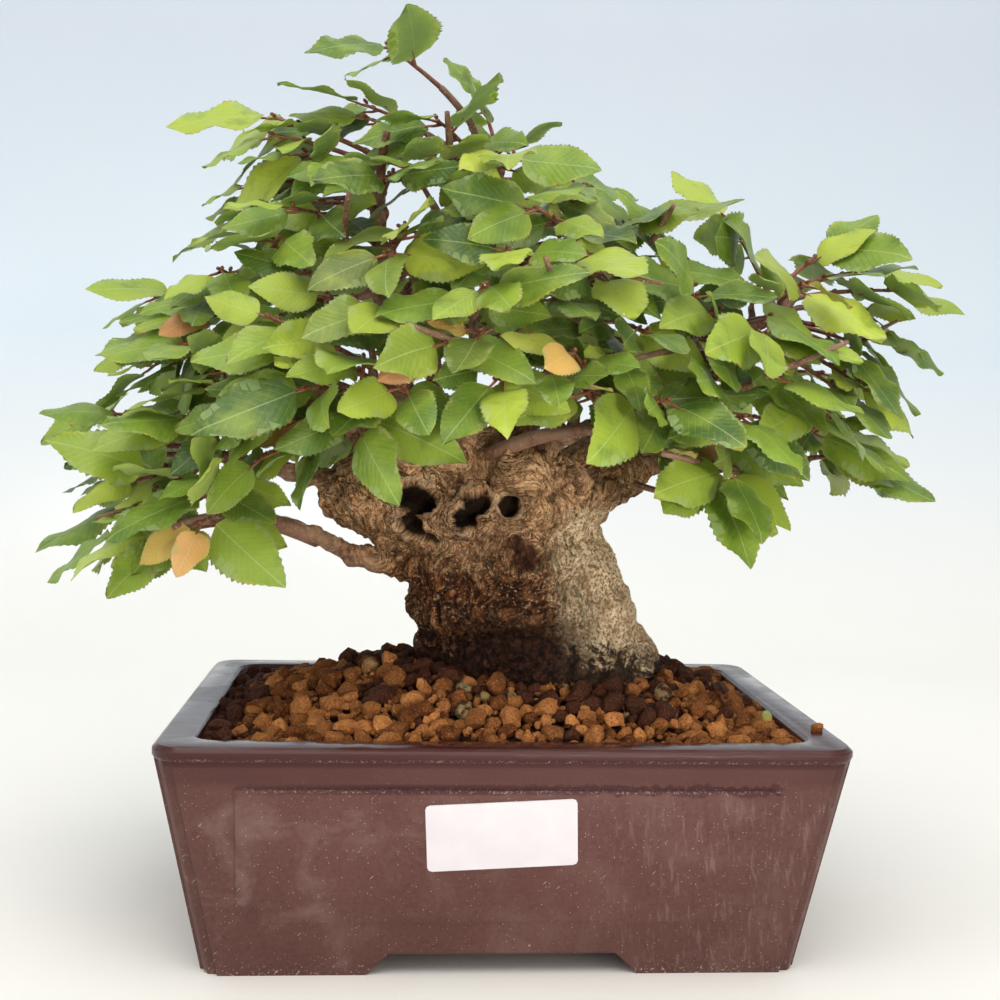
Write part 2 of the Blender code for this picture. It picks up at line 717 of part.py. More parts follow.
def nearest_on(path, target, back):
    """Where on a limb the twig to the target starts, moved back towards the limb's root."""
    best = None
    for (start, radius_a), (end, radius_b) in zip(path, path[1:]):
        along = end - start
        share = max(0.0, min(1.0, (target - start).dot(along) / along.length_squared))
        share = max(0.0, share - back * (target - start - along * share).length / along.length)
        spot = start + along * share
        distance = (target - spot).length
        if best is None or distance < best[0]:
            best = (distance, spot, radius_a + (radius_b - radius_a) * share, along.normalized())
    return best[1:]


def twig_path(spot, direction, base, heading):
    """A twig from inside a limb to the base of a shoot, ending straight along the shoot."""
    reach = (base - spot).length
    lead = min(3 * MM, 0.3 * reach)
    knee = base - heading * lead
    first = spot + direction * 0.30 * reach + (base - spot) * 0.22
    second = knee - heading * 0.28 * reach
    path = []
    for step in range(2):
        t = step / 2
        start_part = spot * (1 - t) ** 3 + first * 3 * t * (1 - t) ** 2
        path.append(start_part + second * 3 * t * t * (1 - t) + knee * t ** 3)
    return path + [knee, base]


def prism(start, end, half_a, half_b):
    """The points and faces of a four-sided bar between two points."""
    along = (end - start).normalized()
    side = along.orthogonal().normalized()
    up = along.cross(side)
    points = []
    for centre, half in ((start, half_a), (end, half_b)):
        for across, above in ((-1, -1), (1, -1), (1, 1), (-1, 1)):
            points.append(centre + side * half * across + up * half * above)
    faces = [(0, 1, 5, 4), (1, 2, 6, 5), (2, 3, 7, 6), (3, 0, 4, 7), (0, 3, 2, 1), (4, 5, 6, 7)]
    return points, faces


class Body:
    """Something already in place, that later leaves and shoots keep clear of."""

    def __init__(self, points, faces):
        self.tree = BVHTree.FromPolygons(points, faces)
        self.centre = sum(points, Vector()) / len(points)
        self.reach = max((point - self.centre).length for point in points)

    def meets(self, other):
        if (self.centre - other.centre).length > self.reach + other.reach:
            return False
        return bool(self.tree.overlap(other.tree))


def bar_body(path, halves):
    points = []
    faces = []
    for (start, half_a), (end, half_b) in zip(zip(path, halves), list(zip(path, halves))[1:]):
        more, sides = prism(start, end, half_a, half_b)
        faces += [tuple(index + len(points) for index in side) for side in sides]
        points += more
    return Body(points, faces)


def inside_burl(point, margin):
    for centre, radii in BURL:
        away = point - Vector(centre) * MM
        share = sum((away[axis] / (radii[axis] * MM + margin)) ** 2 for axis in range(3))
        if share < 1.0:
            return True
    return False


class Spray:
    """One leafy spray: the path of its twig and shoot, and the leaves set on the shoot."""

    def __init__(self, index, limb, tip, leaves, facing):
        self.name = f"spray_{index:02d}"
        self.limb = limb
        self.target = tip
        self.leaf_count = leaves
        self.facing = facing
        self.leaves = {}

    def aim(self, path, jitter):
        """Works out the twig and the shoot for a slightly moved tip."""
        tip = self.target + jitter
        spot, radius, direction = nearest_on(path, tip, TWIG_SWEEP)
        reach = tip - spot
        self.length = min((self.leaf_count + SHOOT_TAIL) * NODE_SPACING, SHOOT_OF_REACH * reach.length)
        self.heading = Vector((reach.x, reach.y, SHOOT_FLATTEN * reach.z)).normalized()
        self.base = tip - self.heading * self.length
        self.twig = twig_path(spot, direction, self.base, self.heading)
        root = min(TWIG_OF_LIMB * radius, TWIG_ROOT_LIMIT)
        self.twig_radii = [root + (TWIG_TIP_RADIUS - root) * step / 3 for step in range(4)]

    def spine(self):
        """Points along the shoot: one stretch for each side leaf, and a last one at its end."""
        start = self.base + self.heading * GAP
        points = []
        count = self.leaf_count + 1
        for step in range(count + 1):
            share = step / count
            sag = Vector((0, 0, -SHOOT_SAG * self.length * share * share))
            points.append(start + self.heading * (self.length * share) + sag)
        return points

    def outward(self):
        """The level direction that the spray faces, away from the crown's middle."""
        away = self.base - CROWN_CENTRE
        away.z = 0
        return (away.normalized() + Vector((self.heading.x, self.heading.y, 0))).normalized()

    def lit_side(self):
        """The direction the blades turn to: outward, and to the front or the back of the tree."""
        depth = -FRONT_TURN if self.base.y < BACK_FROM else FRONT_TURN
        return (self.outward() + Vector((0, depth, 0))).normalized()

    def frame(self):
        """Across and up of the shoot."""
        lean = Vector((0, 0, 1)) + self.outward() * SHOOT_LEAN * self.facing
        across = self.heading.cross(lean)
        across.normalize()
        return across, across.cross(self.heading).normalized()


def plan_sprays():
    """Aims every twig and shoot, so that shoots clear all wood and each other."""
    draw = random.Random(SPRAY_SEED)
    paths = limb_paths()
    wood = []
    for path in paths.values():
        halves = [radius + LIMB_ROOM for point, radius in path]
        wood.append(bar_body([point for point, radius in path], halves))
    shoots = []
    sprays = []
    for index, (limb, tip, leaves, facing) in enumerate(SPRAYS, start=1):
        spray = Spray(index, limb, Vector(tip) * MM, leaves, facing)
        for attempt in range(SPRAY_TRIES):
            spread = attempt * AIM_STEP
            jitter = Vector([draw.uniform(-spread, spread) for axis in range(3)])
            spray.aim(paths[limb], jitter)
            twig = bar_body(spray.twig, [radius + TWIG_ROOM for radius in spray.twig_radii])
            spine = spray.spine()
            shoot = bar_body(spine, [SHOOT_HALF + SHOOT_ROOM] * len(spine))
            free = shoot_is_free(shoot, wood, shoots) and not any(twig.meets(other) for other in shoots)
            if free and not any(inside_burl(point, BURL_ROOM) for point in spine):
                break
        wood.append(twig)
        shoots.append(shoot)
        sprays.append(spray)
    return sprays, wood, shoots


def shoot_is_free(shoot, wood, shoots):
    return not any(shoot.meets(other) for other in wood + shoots)


class Leaf:
    """One toothed blade on its petiole, in the frame: along the midrib, across, and up."""

    def __init__(self, root, along, across, up, length, droop, fold):
        self.root = root
        self.along = along
        self.across = across
        self.up = up
        self.length = length
        self.droop = droop
        self.fold = fold

    def spot(self, share, side, lift=0.0):
        """A point of the blade: share along the midrib, side across in metres, lift above."""
        start = self.root + self.along * PETIOLE_LENGTH
        height = -self.droop * self.length * share * share + self.fold * abs(side) + lift
        return start + self.along * (self.length * share) + self.across * side + self.up * height

    def points(self, grow=0.0):
        """Petiole end, left rim, tip, right rim, and the midrib above and below."""
        half = 0.5 * LEAF_ASPECT * self.length
        end = PETIOLE_HALF + grow
        square = ((-1, -1), (-1, 1), (1, 1), (1, -1))
        corners = [self.spot(0, side * end, lift * end) for side, lift in square]
        left = [self.spot(share, -(half * wide + grow)) for share, wide in BLADE_RIM]
        right = [self.spot(share, half * wide + grow) for share, wide in BLADE_RIM]
        tip = self.spot(1 + grow / self.length, 0)
        thick = LEAF_THICKNESS / 2 + grow
        above = [self.spot(share, 0, thick) for share in BLADE_MIDRIB]
        below = [self.spot(share, 0, -thick) for share in BLADE_MIDRIB]
        return corners + left + [tip] + right + above + below


# Indices into Leaf.points: corners 0-3, left rim 4-8, tip 9, right rim 10-14, midrib 15-18
def blade_faces():
    """Both faces of a blade, split alike, and the two slivers beside the petiole."""
    faces = []
    for corner_left, corner_right, near, far in ((1, 2, 15, 16), (0, 3, 17, 18)):
        for corner, rim in ((corner_left, (4, 5, 6, 7, 8)), (corner_right, (10, 11, 12, 13, 14))):
            faces.append((corner, rim[0], near))
            faces.append((rim[0], rim[1], near))
            faces.append((rim[1], rim[2], near))
            faces.append((near, rim[2], far))
            faces.append((rim[2], rim[3], far))
            faces.append((rim[3], rim[4], far))
            faces.append((rim[4], 9, far))
        faces.append((corner_left, near, corner_right))
    faces.append((1, 0, 4))
    faces.append((2, 3, 10))
    return faces


BLADE_FACES = blade_faces()


def leaf_body(leaf, grow=0.0):
    """The blade and the outer part of its petiole, as a body to test with."""
    points = leaf.points(grow)
    half = PETIOLE_HALF + grow
    stalk, sides = prism(leaf.root + leaf.along * PETIOLE_ROOT, leaf.spot(0, 0), half, half)
    faces = BLADE_FACES + [tuple(index + len(points) for index in side) for side in sides]
    return Body(points + stalk, faces)


def web_body(spray, rank, leaf):
    """The web between a petiole and the stretch of shoot that it grows out of."""
    spine = spray.spine()
    start = len(spine) - 1 - rank
    stretch = [spine[start], spine[min(start + 1, len(spine) - 1)] + leaf.along * GAP]
    return Body(stretch + leaf.points()[:4], [(0, 1, 2), (0, 1, 3), (0, 1, 4), (0, 1, 5)])


def propose_leaf(spray, rank, attempt, draw):
    """A leaf for one place on the shoot: rank 0 ends it, the others stand left and right in turn."""
    spine = spray.spine()
    across, up = spray.frame()
    shrink = 1 - LEAF_SHRINK * attempt / LEAF_TRIES
    loose = 1 + attempt / LEAF_TRIES
    length = LEAF_LENGTH * draw.uniform(*LEAF_SIZES) * shrink
    droop = draw.uniform(*LEAF_DROOPS)
    fold = draw.uniform(*LEAF_FOLDS)
    if rank == 0:
        heading = (spine[-1] - spine[-2]).normalized()
        root = spine[-1]
        turn = math.radians(draw.uniform(-END_LEAF_SWING, END_LEAF_SWING) * loose)
        sign = 1
        along = heading * math.cos(turn) + across * math.sin(turn)
    else:
        step = len(spine) - 1 - rank
        heading = (spine[step + 1] - spine[step]).normalized()
        sign = 1 if rank % 2 else -1
        root = (spine[step] + spine[step + 1]) / 2 + across * sign * SHOOT_HALF
        turn = math.radians(LEAF_ANGLE + draw.uniform(-SIDE_LEAF_SWING, SIDE_LEAF_SWING) * loose)
        along = heading * math.cos(turn) + across * sign * math.sin(turn)
    dip = LEAF_DIP + LEAF_HANG * spray.facing + draw.uniform(-LEAF_NOD, LEAF_NOD) * loose
    along = (along - Vector((0, 0, dip))).normalized()
    roll = math.radians(draw.uniform(-LEAF_ROLL, LEAF_ROLL) * loose)
    face = up * (1 - spray.facing) + spray.lit_side() * spray.facing
    normal = (face - along * face.dot(along)).normalized()
    normal = normal * math.cos(roll) + along.cross(normal) * math.sin(roll)
    level = (up - along * up.dot(along)).normalized()
    turned = normal
    for share in (0.25, 0.5, 0.75, 1.0):
        if normal.dot(up) >= LEAST_UPRIGHT:
            break
        normal = turned.lerp(level, share).normalized()
    side = along.cross(normal)
    if side.dot(heading if rank else across) < 0:
        side = -side
    return Leaf(root, along, side, normal, length, droop, fold)


def plan_leaves(sprays, wood, shoots):
    """Sets leaves by rank, the end leaves of all shoots first, each clear of what is in place."""
    draw = random.Random(SPRAY_SEED + 1)
    placed = []
    most = max(spray.leaf_count for spray in sprays)
    for rank in range(most + 1):
        for number, spray in enumerate(sprays):
            if rank > spray.leaf_count:
                continue
            for attempt in range(LEAF_TRIES):
                leaf = propose_leaf(spray, rank, attempt, draw)
                trial = leaf_body(leaf, LEAF_CLEARANCE)
                if any(inside_burl(point, LEAF_BURL_ROOM) for point in leaf.points()):
                    continue
                if Body(leaf.points(), BLADE_FACES).meets(shoots[number]):
                    continue
                web = web_body(spray, rank, leaf)
                if any(trial.meets(other) or web.meets(other) for other in placed):
                    continue
                if any(trial.meets(other) for other in wood):
                    continue
                if any(trial.meets(other) for near, other in enumerate(shoots) if near != number):
                    continue
                spray.leaves[rank] = leaf
                placed += [leaf_body(leaf), web]
                break


def ring_at(bm, centre, across, up, half):
    corners = ((-1, -1), (-1, 1), (1, 1), (1, -1))
    return [bm.verts.new(centre + across * side * half + up * lift * half) for side, lift in corners]


def grow_blade(bm, root_ring, leaf):
    """Grows a petiole from four corner vertices and closes it with the blade."""
    verts = [bm.verts.new(point) for point in leaf.points()]
    for here in range(4):
        after = (here + 1) % 4
        bm.faces.new((root_ring[here], root_ring[after], verts[after], verts[here]))
    for face in BLADE_FACES:
        bm.faces.new([verts[index] for index in face])


def build_spray(spray, group, finish):
    """The shoot as a four-sided bar, with each leaf grown out of one of its side faces."""
    spine = spray.spine()
    across, up = spray.frame()
    bm = bmesh.new()
    rings = []
    last = len(spine) - 1
    for step, point in enumerate(spine):
        half = SHOOT_HALF + (SHOOT_TIP_HALF - SHOOT_HALF) * step / last
        rings.append(ring_at(bm, point, across, up, half))
    bm.faces.new(list(reversed(rings[0])))
    for step, (lower, upper) in enumerate(zip(rings, rings[1:])):
        rank = last - step
        leaf = spray.leaves.get(rank)
        leafy_side = None
        if leaf is not None:
            leafy_side = 2 if rank % 2 else 0
            first, second = (3, 2) if rank % 2 else (0, 1)
            root_ring = [lower[first], lower[second], upper[second], upper[first]]
            grow_blade(bm, root_ring, leaf)
        for side in range(4):
            after = (side + 1) % 4
            if side != leafy_side:
                bm.faces.new((lower[side], lower[after], upper[after], upper[side]))
    end_leaf = spray.leaves.get(0)
    if end_leaf is None:
        bm.faces.new(rings[-1])
    else:
        grow_blade(bm, rings[-1], end_leaf)
    return place(spray.name, mesh_from(bm, spray.name), group, finish)


def largest_shell(thing):
    """Keeps the outer shell of a fused solid and drops sealed hollows and loose scraps."""
    bm = bmesh.new()
    bm.from_mesh(thing.data)
    left = set(bm.faces)
    shells = []
    while left:
        seed = left.pop()
        shell = {seed}
        front = [seed]
        while front:
            face = front.pop()
            near = [other for edge in face.edges if len(edge.link_faces) == 2 for other in edge.link_faces]
            for other in near:
                if other not in shell:
                    shell.add(other)
                    front.append(other)
        left -= shell
        shells.append(shell)
    shells.sort(key=len)
    drop = [face for shell in shells[:-1] for face in shell]
    bmesh.ops.delete(bm, geom=drop, context="FACES")
    bmesh.ops.triangulate(bm, faces=bm.faces)
    bmesh.ops.dissolve_degenerate(bm, dist=0.01 * MM, edges=bm.edges)
    bm.to_mesh(thing.data)
    bm.free()


def build_trunk(sprays, group, fusing, finish):
    """The burl with every limb and woody twig fused to it."""
    trunk, ring = build_burl(group, finish)
    for name, path in limb_paths().items():
        tube(name, [point for point, radius in path], [radius for point, radius in path], 1, fusing)
    for spray in sprays:
        tube(spray.name + "_twig", spray.twig, spray.twig_radii, 0, fusing)
    fuse = trunk.modifiers.new("Fuse", "BOOLEAN")
    fuse.operation = "UNION"
    fuse.operand_type = "COLLECTION"
    fuse.collection = fusing
    fuse.solver = "EXACT"
    fuse.use_self = True
    trunk = bake(trunk)
    for item in list(fusing.objects):
        bpy.data.objects.remove(item, do_unlink=True)
    largest_shell(trunk)
    return trunk, ring


def build():
    clear_scene()
    parts = make_collection("korean_hornbeam_bonsai")
    cutters = make_collection("cutters")
    fusing = make_collection("limbs_and_twigs")

    stoneware = material("stoneware", (0.095, 0.045, 0.038), 0.38)
    paper = material("label_paper", (0.86, 0.86, 0.86), 0.45)
    plastic = material("drain_plastic", (0.02, 0.02, 0.02), 0.5)
    clay = material("clay_grains", (0.38, 0.16, 0.06), 0.95)
    bark = material("bark", (0.32, 0.22, 0.14), 0.85)
    leaf_green = material("leaf", (0.13, 0.28, 0.05), 0.42)

    sprays, wood, shoots = plan_sprays()
    plan_leaves(sprays, wood, shoots)

    build_pot(parts, cutters, stoneware)
    build_label(parts, paper)
    build_drain_mesh("drain_mesh_left", -DRAIN_HOLE_X, parts, cutters, plastic)
    build_drain_mesh("drain_mesh_right", DRAIN_HOLE_X, parts, cutters, plastic)
    trunk, trunk_ring = build_trunk(sprays, parts, fusing, bark)
    build_soil(trunk_ring, parts, cutters, clay)
    for spray in sprays:
        build_spray(spray, parts, leaf_green)


build()
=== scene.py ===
# %% [markdown]
# A Korean hornbeam bonsai in its pot, dressed for a picture.
# The wood, the soil and the pot already exist as plain solids, loaded here as a fixed frame.
# Each cell makes one finer piece in the place of a plain one, or gives a plain one its finish.
# %% The frame
import json
import math
import random

import bmesh
import bpy
from mathutils import Matrix, Vector, noise
from mathutils.bvhtree import BVHTree

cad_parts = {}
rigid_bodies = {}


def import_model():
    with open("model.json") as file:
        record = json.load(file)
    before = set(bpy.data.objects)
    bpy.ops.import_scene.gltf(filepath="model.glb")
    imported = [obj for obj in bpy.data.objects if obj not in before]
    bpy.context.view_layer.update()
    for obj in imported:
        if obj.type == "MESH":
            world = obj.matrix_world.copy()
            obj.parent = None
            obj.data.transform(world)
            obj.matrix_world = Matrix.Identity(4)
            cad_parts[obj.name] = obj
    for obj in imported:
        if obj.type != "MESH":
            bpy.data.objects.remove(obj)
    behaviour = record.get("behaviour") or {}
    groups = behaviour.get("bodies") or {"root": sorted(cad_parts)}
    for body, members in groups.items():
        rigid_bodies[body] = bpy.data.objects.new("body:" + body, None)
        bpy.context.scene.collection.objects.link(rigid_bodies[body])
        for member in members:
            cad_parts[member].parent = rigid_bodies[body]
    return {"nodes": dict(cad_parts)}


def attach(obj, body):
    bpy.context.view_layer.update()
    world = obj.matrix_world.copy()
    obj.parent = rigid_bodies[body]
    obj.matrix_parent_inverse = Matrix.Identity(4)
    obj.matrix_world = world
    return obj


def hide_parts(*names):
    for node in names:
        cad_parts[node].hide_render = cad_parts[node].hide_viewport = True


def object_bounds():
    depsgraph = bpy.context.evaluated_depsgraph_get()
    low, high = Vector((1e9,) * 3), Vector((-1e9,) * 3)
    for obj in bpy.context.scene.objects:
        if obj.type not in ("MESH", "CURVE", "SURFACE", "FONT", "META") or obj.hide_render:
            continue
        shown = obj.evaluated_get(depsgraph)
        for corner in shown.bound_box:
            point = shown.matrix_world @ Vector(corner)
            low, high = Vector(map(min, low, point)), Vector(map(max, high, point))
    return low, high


for item in list(bpy.data.objects):
    bpy.data.objects.remove(item, do_unlink=True)
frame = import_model()


def plain_box(corners):
    return [[float(value) for value in corner] for corner in corners]


CAD_BOX = plain_box(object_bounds())
MM = 0.001
print("frame:", len(frame["nodes"]), "nodes, box", CAD_BOX)

# %% [markdown]
# Every finish is a tree of shader nodes, and most of them need the same few steps: a place in
# millimetres, a noise, a threshold, a blend of two colours. A small recipe class keeps those steps
# short, so that a finish reads like a list of layers.
# %% A recipe for finishes


class Recipe:
    """A material that is built one layer at a time on its Principled shader."""

    def __init__(self, name, **constants):
        self.material = bpy.data.materials.new(name)
        self.material.use_nodes = True
        self.tree = self.material.node_tree
        self.shader = self.tree.nodes["Principled BSDF"]
        for socket, value in constants.items():
            self.shader.inputs[socket.replace("_", " ")].default_value = value

    def node(self, kind, inputs, output=0, **settings):
        made = self.tree.nodes.new("ShaderNode" + kind)
        for name, value in settings.items():
            setattr(made, name, value)
        for socket, value in inputs.items():
            if isinstance(value, bpy.types.NodeSocket):
                self.tree.links.new(value, made.inputs[socket])
            else:
                made.inputs[socket].default_value = value
        return made.outputs[output]

    def millimetres(self, stretch=(1, 1, 1), turn=(0, 0, 0)):
        """The place on the object in millimetres, turned and then stretched."""
        spot = self.node("TexCoord", {}, "Object")
        turned = self.node("Mapping", {"Vector": spot, "Rotation": turn})
        return self.node("Mapping", {"Vector": turned, "Scale": [1000 * share for share in stretch]})

    def attribute(self, name, output="Fac"):
        return self.node("Attribute", {}, output, attribute_name=name)

    def noise(self, spot, size, detail=3.0, roughness=0.5, distortion=0.0, output="Fac"):
        """Soft noise whose lumps are about this many units of the place wide."""
        inputs = {"Vector": spot, "Scale": 1 / size, "Detail": detail}
        inputs.update({"Roughness": roughness, "Distortion": distortion})
        return self.node("TexNoise", inputs, output)

    def cells(self, spot, size, feature="F1", output="Distance", randomness=1.0):
        inputs = {"Vector": spot, "Scale": 1 / size, "Randomness": randomness}
        return self.node("TexVoronoi", inputs, output, feature=feature)

    def ramp(self, value, low, high, to_low=0.0, to_high=1.0):
        """The value's rise from low to high, held to the range it is mapped to."""
        inputs = {"Value": value, "From Min": low, "From Max": high, "To Min": to_low, "To Max": to_high}
        return self.node("MapRange", inputs, "Result")

    def maths(self, operation, first, second=0.0):
        return self.node("Math", {0: first, 1: second}, operation=operation)

    def both(self, *masks):
        """The product of several masks."""
        result = masks[0]
        for mask in masks[1:]:
            result = self.maths("MULTIPLY", result, mask)
        return result

    def axis(self, spot, name):
        return self.node("SeparateXYZ", {"Vector": spot}, name)

    def blend(self, share, first, second, mode="MIX"):
        sockets = {0: share, 6: self.colour(first), 7: self.colour(second)}
        return self.node("Mix", sockets, 2, data_type="RGBA", blend_type=mode)

    def colour(self, value):
        return (*value, 1.0) if isinstance(value, tuple) and len(value) == 3 else value

    def bump(self, height, depth, below=None):
        """Relief whose full height is this many millimetres."""
        inputs = {"Height": height, "Distance": depth * MM, "Strength": 1.0}
        if below is not None:
            inputs["Normal"] = below
        return self.node("Bump", inputs, "Normal")

    def done(self, **layers):
        for socket, source in layers.items():
            self.tree.links.new(source, self.shader.inputs[socket.replace("_", " ")])
        return self.material


# %% [markdown]
# A finished piece is a mesh object at the origin, with its place in its vertices. Each one rides on
# the part, hides the plain solids that it stands for, and takes its finish from a slot.
# %% A helper for finished pieces


def add_piece(name, mesh, finishes, nodes=()):
    mesh.name = name
    piece = bpy.data.objects.new(name, mesh)
    bpy.context.scene.collection.objects.link(piece)
    for finish in finishes:
        mesh.materials.append(finish)
    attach(piece, "root")
    if nodes:
        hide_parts(*nodes)
    print(name, "has", sum(len(face.vertices) - 2 for face in mesh.polygons), "triangles")
    return piece


def mesh_of(bm, name, smooth=True):
    mesh = bpy.data.meshes.new(name)
    bm.to_mesh(mesh)
    bm.free()
    if smooth:
        mesh.shade_smooth()
    return mesh


# %% [markdown]
# The picture was taken from just above the level of the soil, straight at the front wall, with the
# camera a hand's width left of the middle and tipped very slightly. Four corners of the pot fixed
# its place; a lens of 50 mm on a full frame gives the same perspective.
# %% The camera
CAMERA_PLACE = Vector((-28.4, -407.9, 143.5)) * MM
CAMERA_TURN = 0.0711
CAMERA_DIP = 0.0544
CAMERA_ROLL = 0.0215
CAMERA_LENS = 49.94


def add_camera():
    ahead = Vector((
        math.sin(CAMERA_TURN) * math.cos(CAMERA_DIP),
        math.cos(CAMERA_TURN) * math.cos(CAMERA_DIP),
        -math.sin(CAMERA_DIP),
    ))
    level = Vector((math.cos(CAMERA_TURN), -math.sin(CAMERA_TURN), 0))
    above = level.cross(ahead)
    right = math.cos(CAMERA_ROLL) * level + math.sin(CAMERA_ROLL) * above
    up = -math.sin(CAMERA_ROLL) * level + math.cos(CAMERA_ROLL) * above
    lens = bpy.data.cameras.new("camera")
    lens.lens = CAMERA_LENS
    lens.clip_start = 0.01
    camera = bpy.data.objects.new("camera", lens)
    place = Matrix((right, up, -ahead)).transposed().to_4x4()
    place.translation = CAMERA_PLACE
    camera.matrix_world = place
    bpy.context.scene.collection.objects.link(camera)
    bpy.context.scene.camera = camera
    return camera


print("camera at", add_camera().location)

# %% [markdown]
# The setting is a bright, soft room: a pale sheet that runs back under the pot and curves up behind
# it, so no horizon shows, a large soft light above the front, a weaker one from the left and one
# from behind that shines through the leaves. The sheet's colour is painted darker and bluer with
# height, as painted shade and painted blue sky light.
# %% The floor sheet
FLOOR_WIDTH = 3.2
FLOOR_FRONT = -1.3
FLOOR_BACK = 0.42
SWEEP_RADIUS = 0.30
SWEEP_STEPS = 16
WALL_TOP = 2.0


def paper_sweep_finish():
    recipe = Recipe("paper_sweep", Roughness=0.9)
    spot = recipe.millimetres()
    height = recipe.axis(spot, "Z")
    # Painted light and shade: the sheet is bright and warm at the floor and painted darker and bluer up the wall.
    painted_height_light = recipe.blend(recipe.ramp(height, 0, 210), (0.985, 0.945, 0.865), (0.735, 0.815, 0.87))
    painted_height_light = recipe.blend(recipe.ramp(height, 250, 450), painted_height_light, (0.645, 0.700, 0.765))
    mottle = recipe.noise(spot, 90, 2)
    shade = recipe.blend(recipe.ramp(mottle, 0.3, 0.7, 0.0, 0.06), painted_height_light, (0.80, 0.78, 0.74))
    grain = recipe.noise(spot, 0.8, 2)
    return recipe.done(Base_Color=shade, Normal=recipe.bump(grain, 0.03))


def add_floor():
    """A flat sheet whose back edge is swept up in a quarter turn and drawn on to a wall."""
    bm = bmesh.new()
    bmesh.ops.create_grid(bm, x_segments=1, y_segments=1, size=0.5)
    for vert in bm.verts:
        vert.co.x *= FLOOR_WIDTH
        vert.co.y = FLOOR_FRONT if vert.co.y < 0 else FLOOR_BACK
    edge = [item for item in bm.edges if all(vert.co.y > 0 for vert in item.verts)]
    turned = bmesh.ops.spin(bm, geom=edge, cent=(0, FLOOR_BACK, SWEEP_RADIUS), axis=(1, 0, 0),
                            angle=math.radians(90), steps=SWEEP_STEPS, use_duplicate=False)
    last = [item for item in turned["geom_last"] if isinstance(item, bmesh.types.BMEdge)]
    grown = bmesh.ops.extrude_edge_only(bm, edges=last)["geom"]
    for item in grown:
        if isinstance(item, bmesh.types.BMVert):
            item.co.z = WALL_TOP
    bmesh.ops.recalc_face_normals(bm, faces=bm.faces)
    floor = bpy.data.objects.new("floor_sheet", mesh_of(bm, "floor_sheet"))
    floor.data.materials.append(paper_sweep_finish())
    bpy.context.scene.collection.objects.link(floor)
    return floor


print("floor sheet of", len(add_floor().data.polygons), "faces")

# %% [markdown]
# Area lights are wide, because the shadows in the picture have soft edges. The air around adds an
# even, slightly blue light that fills the shade between the leaves and shows in the wet rim. The
# last light is a narrow one that reaches the trunk from the front, under the leaves.
# %% The lights
SUBJECT = Vector((0, 0, 0.12))
LIGHTS = {
    "sky_panel": ((0.0, -0.50, 1.25), 1.3, 13.5, (1.0, 0.98, 0.95)),
    "window_left": ((-1.3, -0.5, 0.55), 0.9, 3.2, (0.93, 0.97, 1.0)),
    "front_fill": ((0.75, -1.15, 0.40), 0.9, 2.8, (1.0, 0.97, 0.94)),
    "back_glow": ((0.45, 0.95, 0.85), 0.7, 5.0, (1.0, 0.98, 0.9)),
    "trunk_light": ((0.30, -1.05, 0.14), 0.12, 0.045, (1.0, 0.95, 0.88)),
}
TRUNK_SPREAD = 14
AIR_COLOUR = (0.86, 0.92, 1.0)
AIR_STRENGTH = 0.50


def add_lights():
    for name, (place, side, power, colour) in LIGHTS.items():
        lamp = bpy.data.lights.new(name, "AREA")
        lamp.size = side
        lamp.energy = power
        lamp.color = colour
        light = bpy.data.objects.new(name, lamp)
        light.location = place
        towards = SUBJECT - Vector(place)
        light.rotation_euler = towards.to_track_quat("-Z", "Y").to_euler()
        bpy.context.scene.collection.objects.link(light)
    lamp.spread = math.radians(TRUNK_SPREAD)
    air = bpy.data.worlds.new("air")
    air.use_nodes = True
    backdrop = air.node_tree.nodes["Background"]
    backdrop.inputs["Color"].default_value = (*AIR_COLOUR, 1)
    backdrop.inputs["Strength"].default_value = AIR_STRENGTH
    bpy.context.scene.world = air
    bpy.context.scene.view_settings.view_transform = "Standard"


add_lights()
print("lights:", ", ".join(LIGHTS))

# %% [markdown]
# The pot is unglazed stoneware, cast in one piece. Its plain solid has the right shape but knife
# edges, while a fired pot has none. A copy of it is merged, its flat faces are made whole again,
# and every edge is eased by a small bevel, so that each one catches a thin line of light.
# %% The pot
POT_EASE = 0.45 * MM
EASED_ANGLE = math.radians(28)
FLAT_ANGLE = math.radians(0.6)
WELD = 0.02 * MM
RIM_HEIGHT = 62
WALL_TOP_HEIGHT = 58.4


def eased_pot_mesh():
    bm = bmesh.new()
    bm.from_mesh(frame["nodes"]["pot"].data)
    bmesh.ops.remove_doubles(bm, verts=bm.verts, dist=WELD)
    bmesh.ops.dissolve_limit(bm, angle_limit=FLAT_ANGLE, verts=bm.verts, edges=bm.edges)
    edges = [edge for edge in bm.edges if edge.is_manifold and abs(edge.calc_face_angle(0)) > EASED_ANGLE]
    bmesh.ops.bevel(bm, geom=edges, offset=POT_EASE, offset_type="OFFSET", affect="EDGES",
                    segments=2, profile=0.5, clamp_overlap=True, material=-1)
    bmesh.ops.recalc_face_normals(bm, faces=bm.faces)
    mesh = mesh_of(bm, "pot_body")
    mesh.set_sharp_from_angle(angle=math.radians(38))
    return mesh
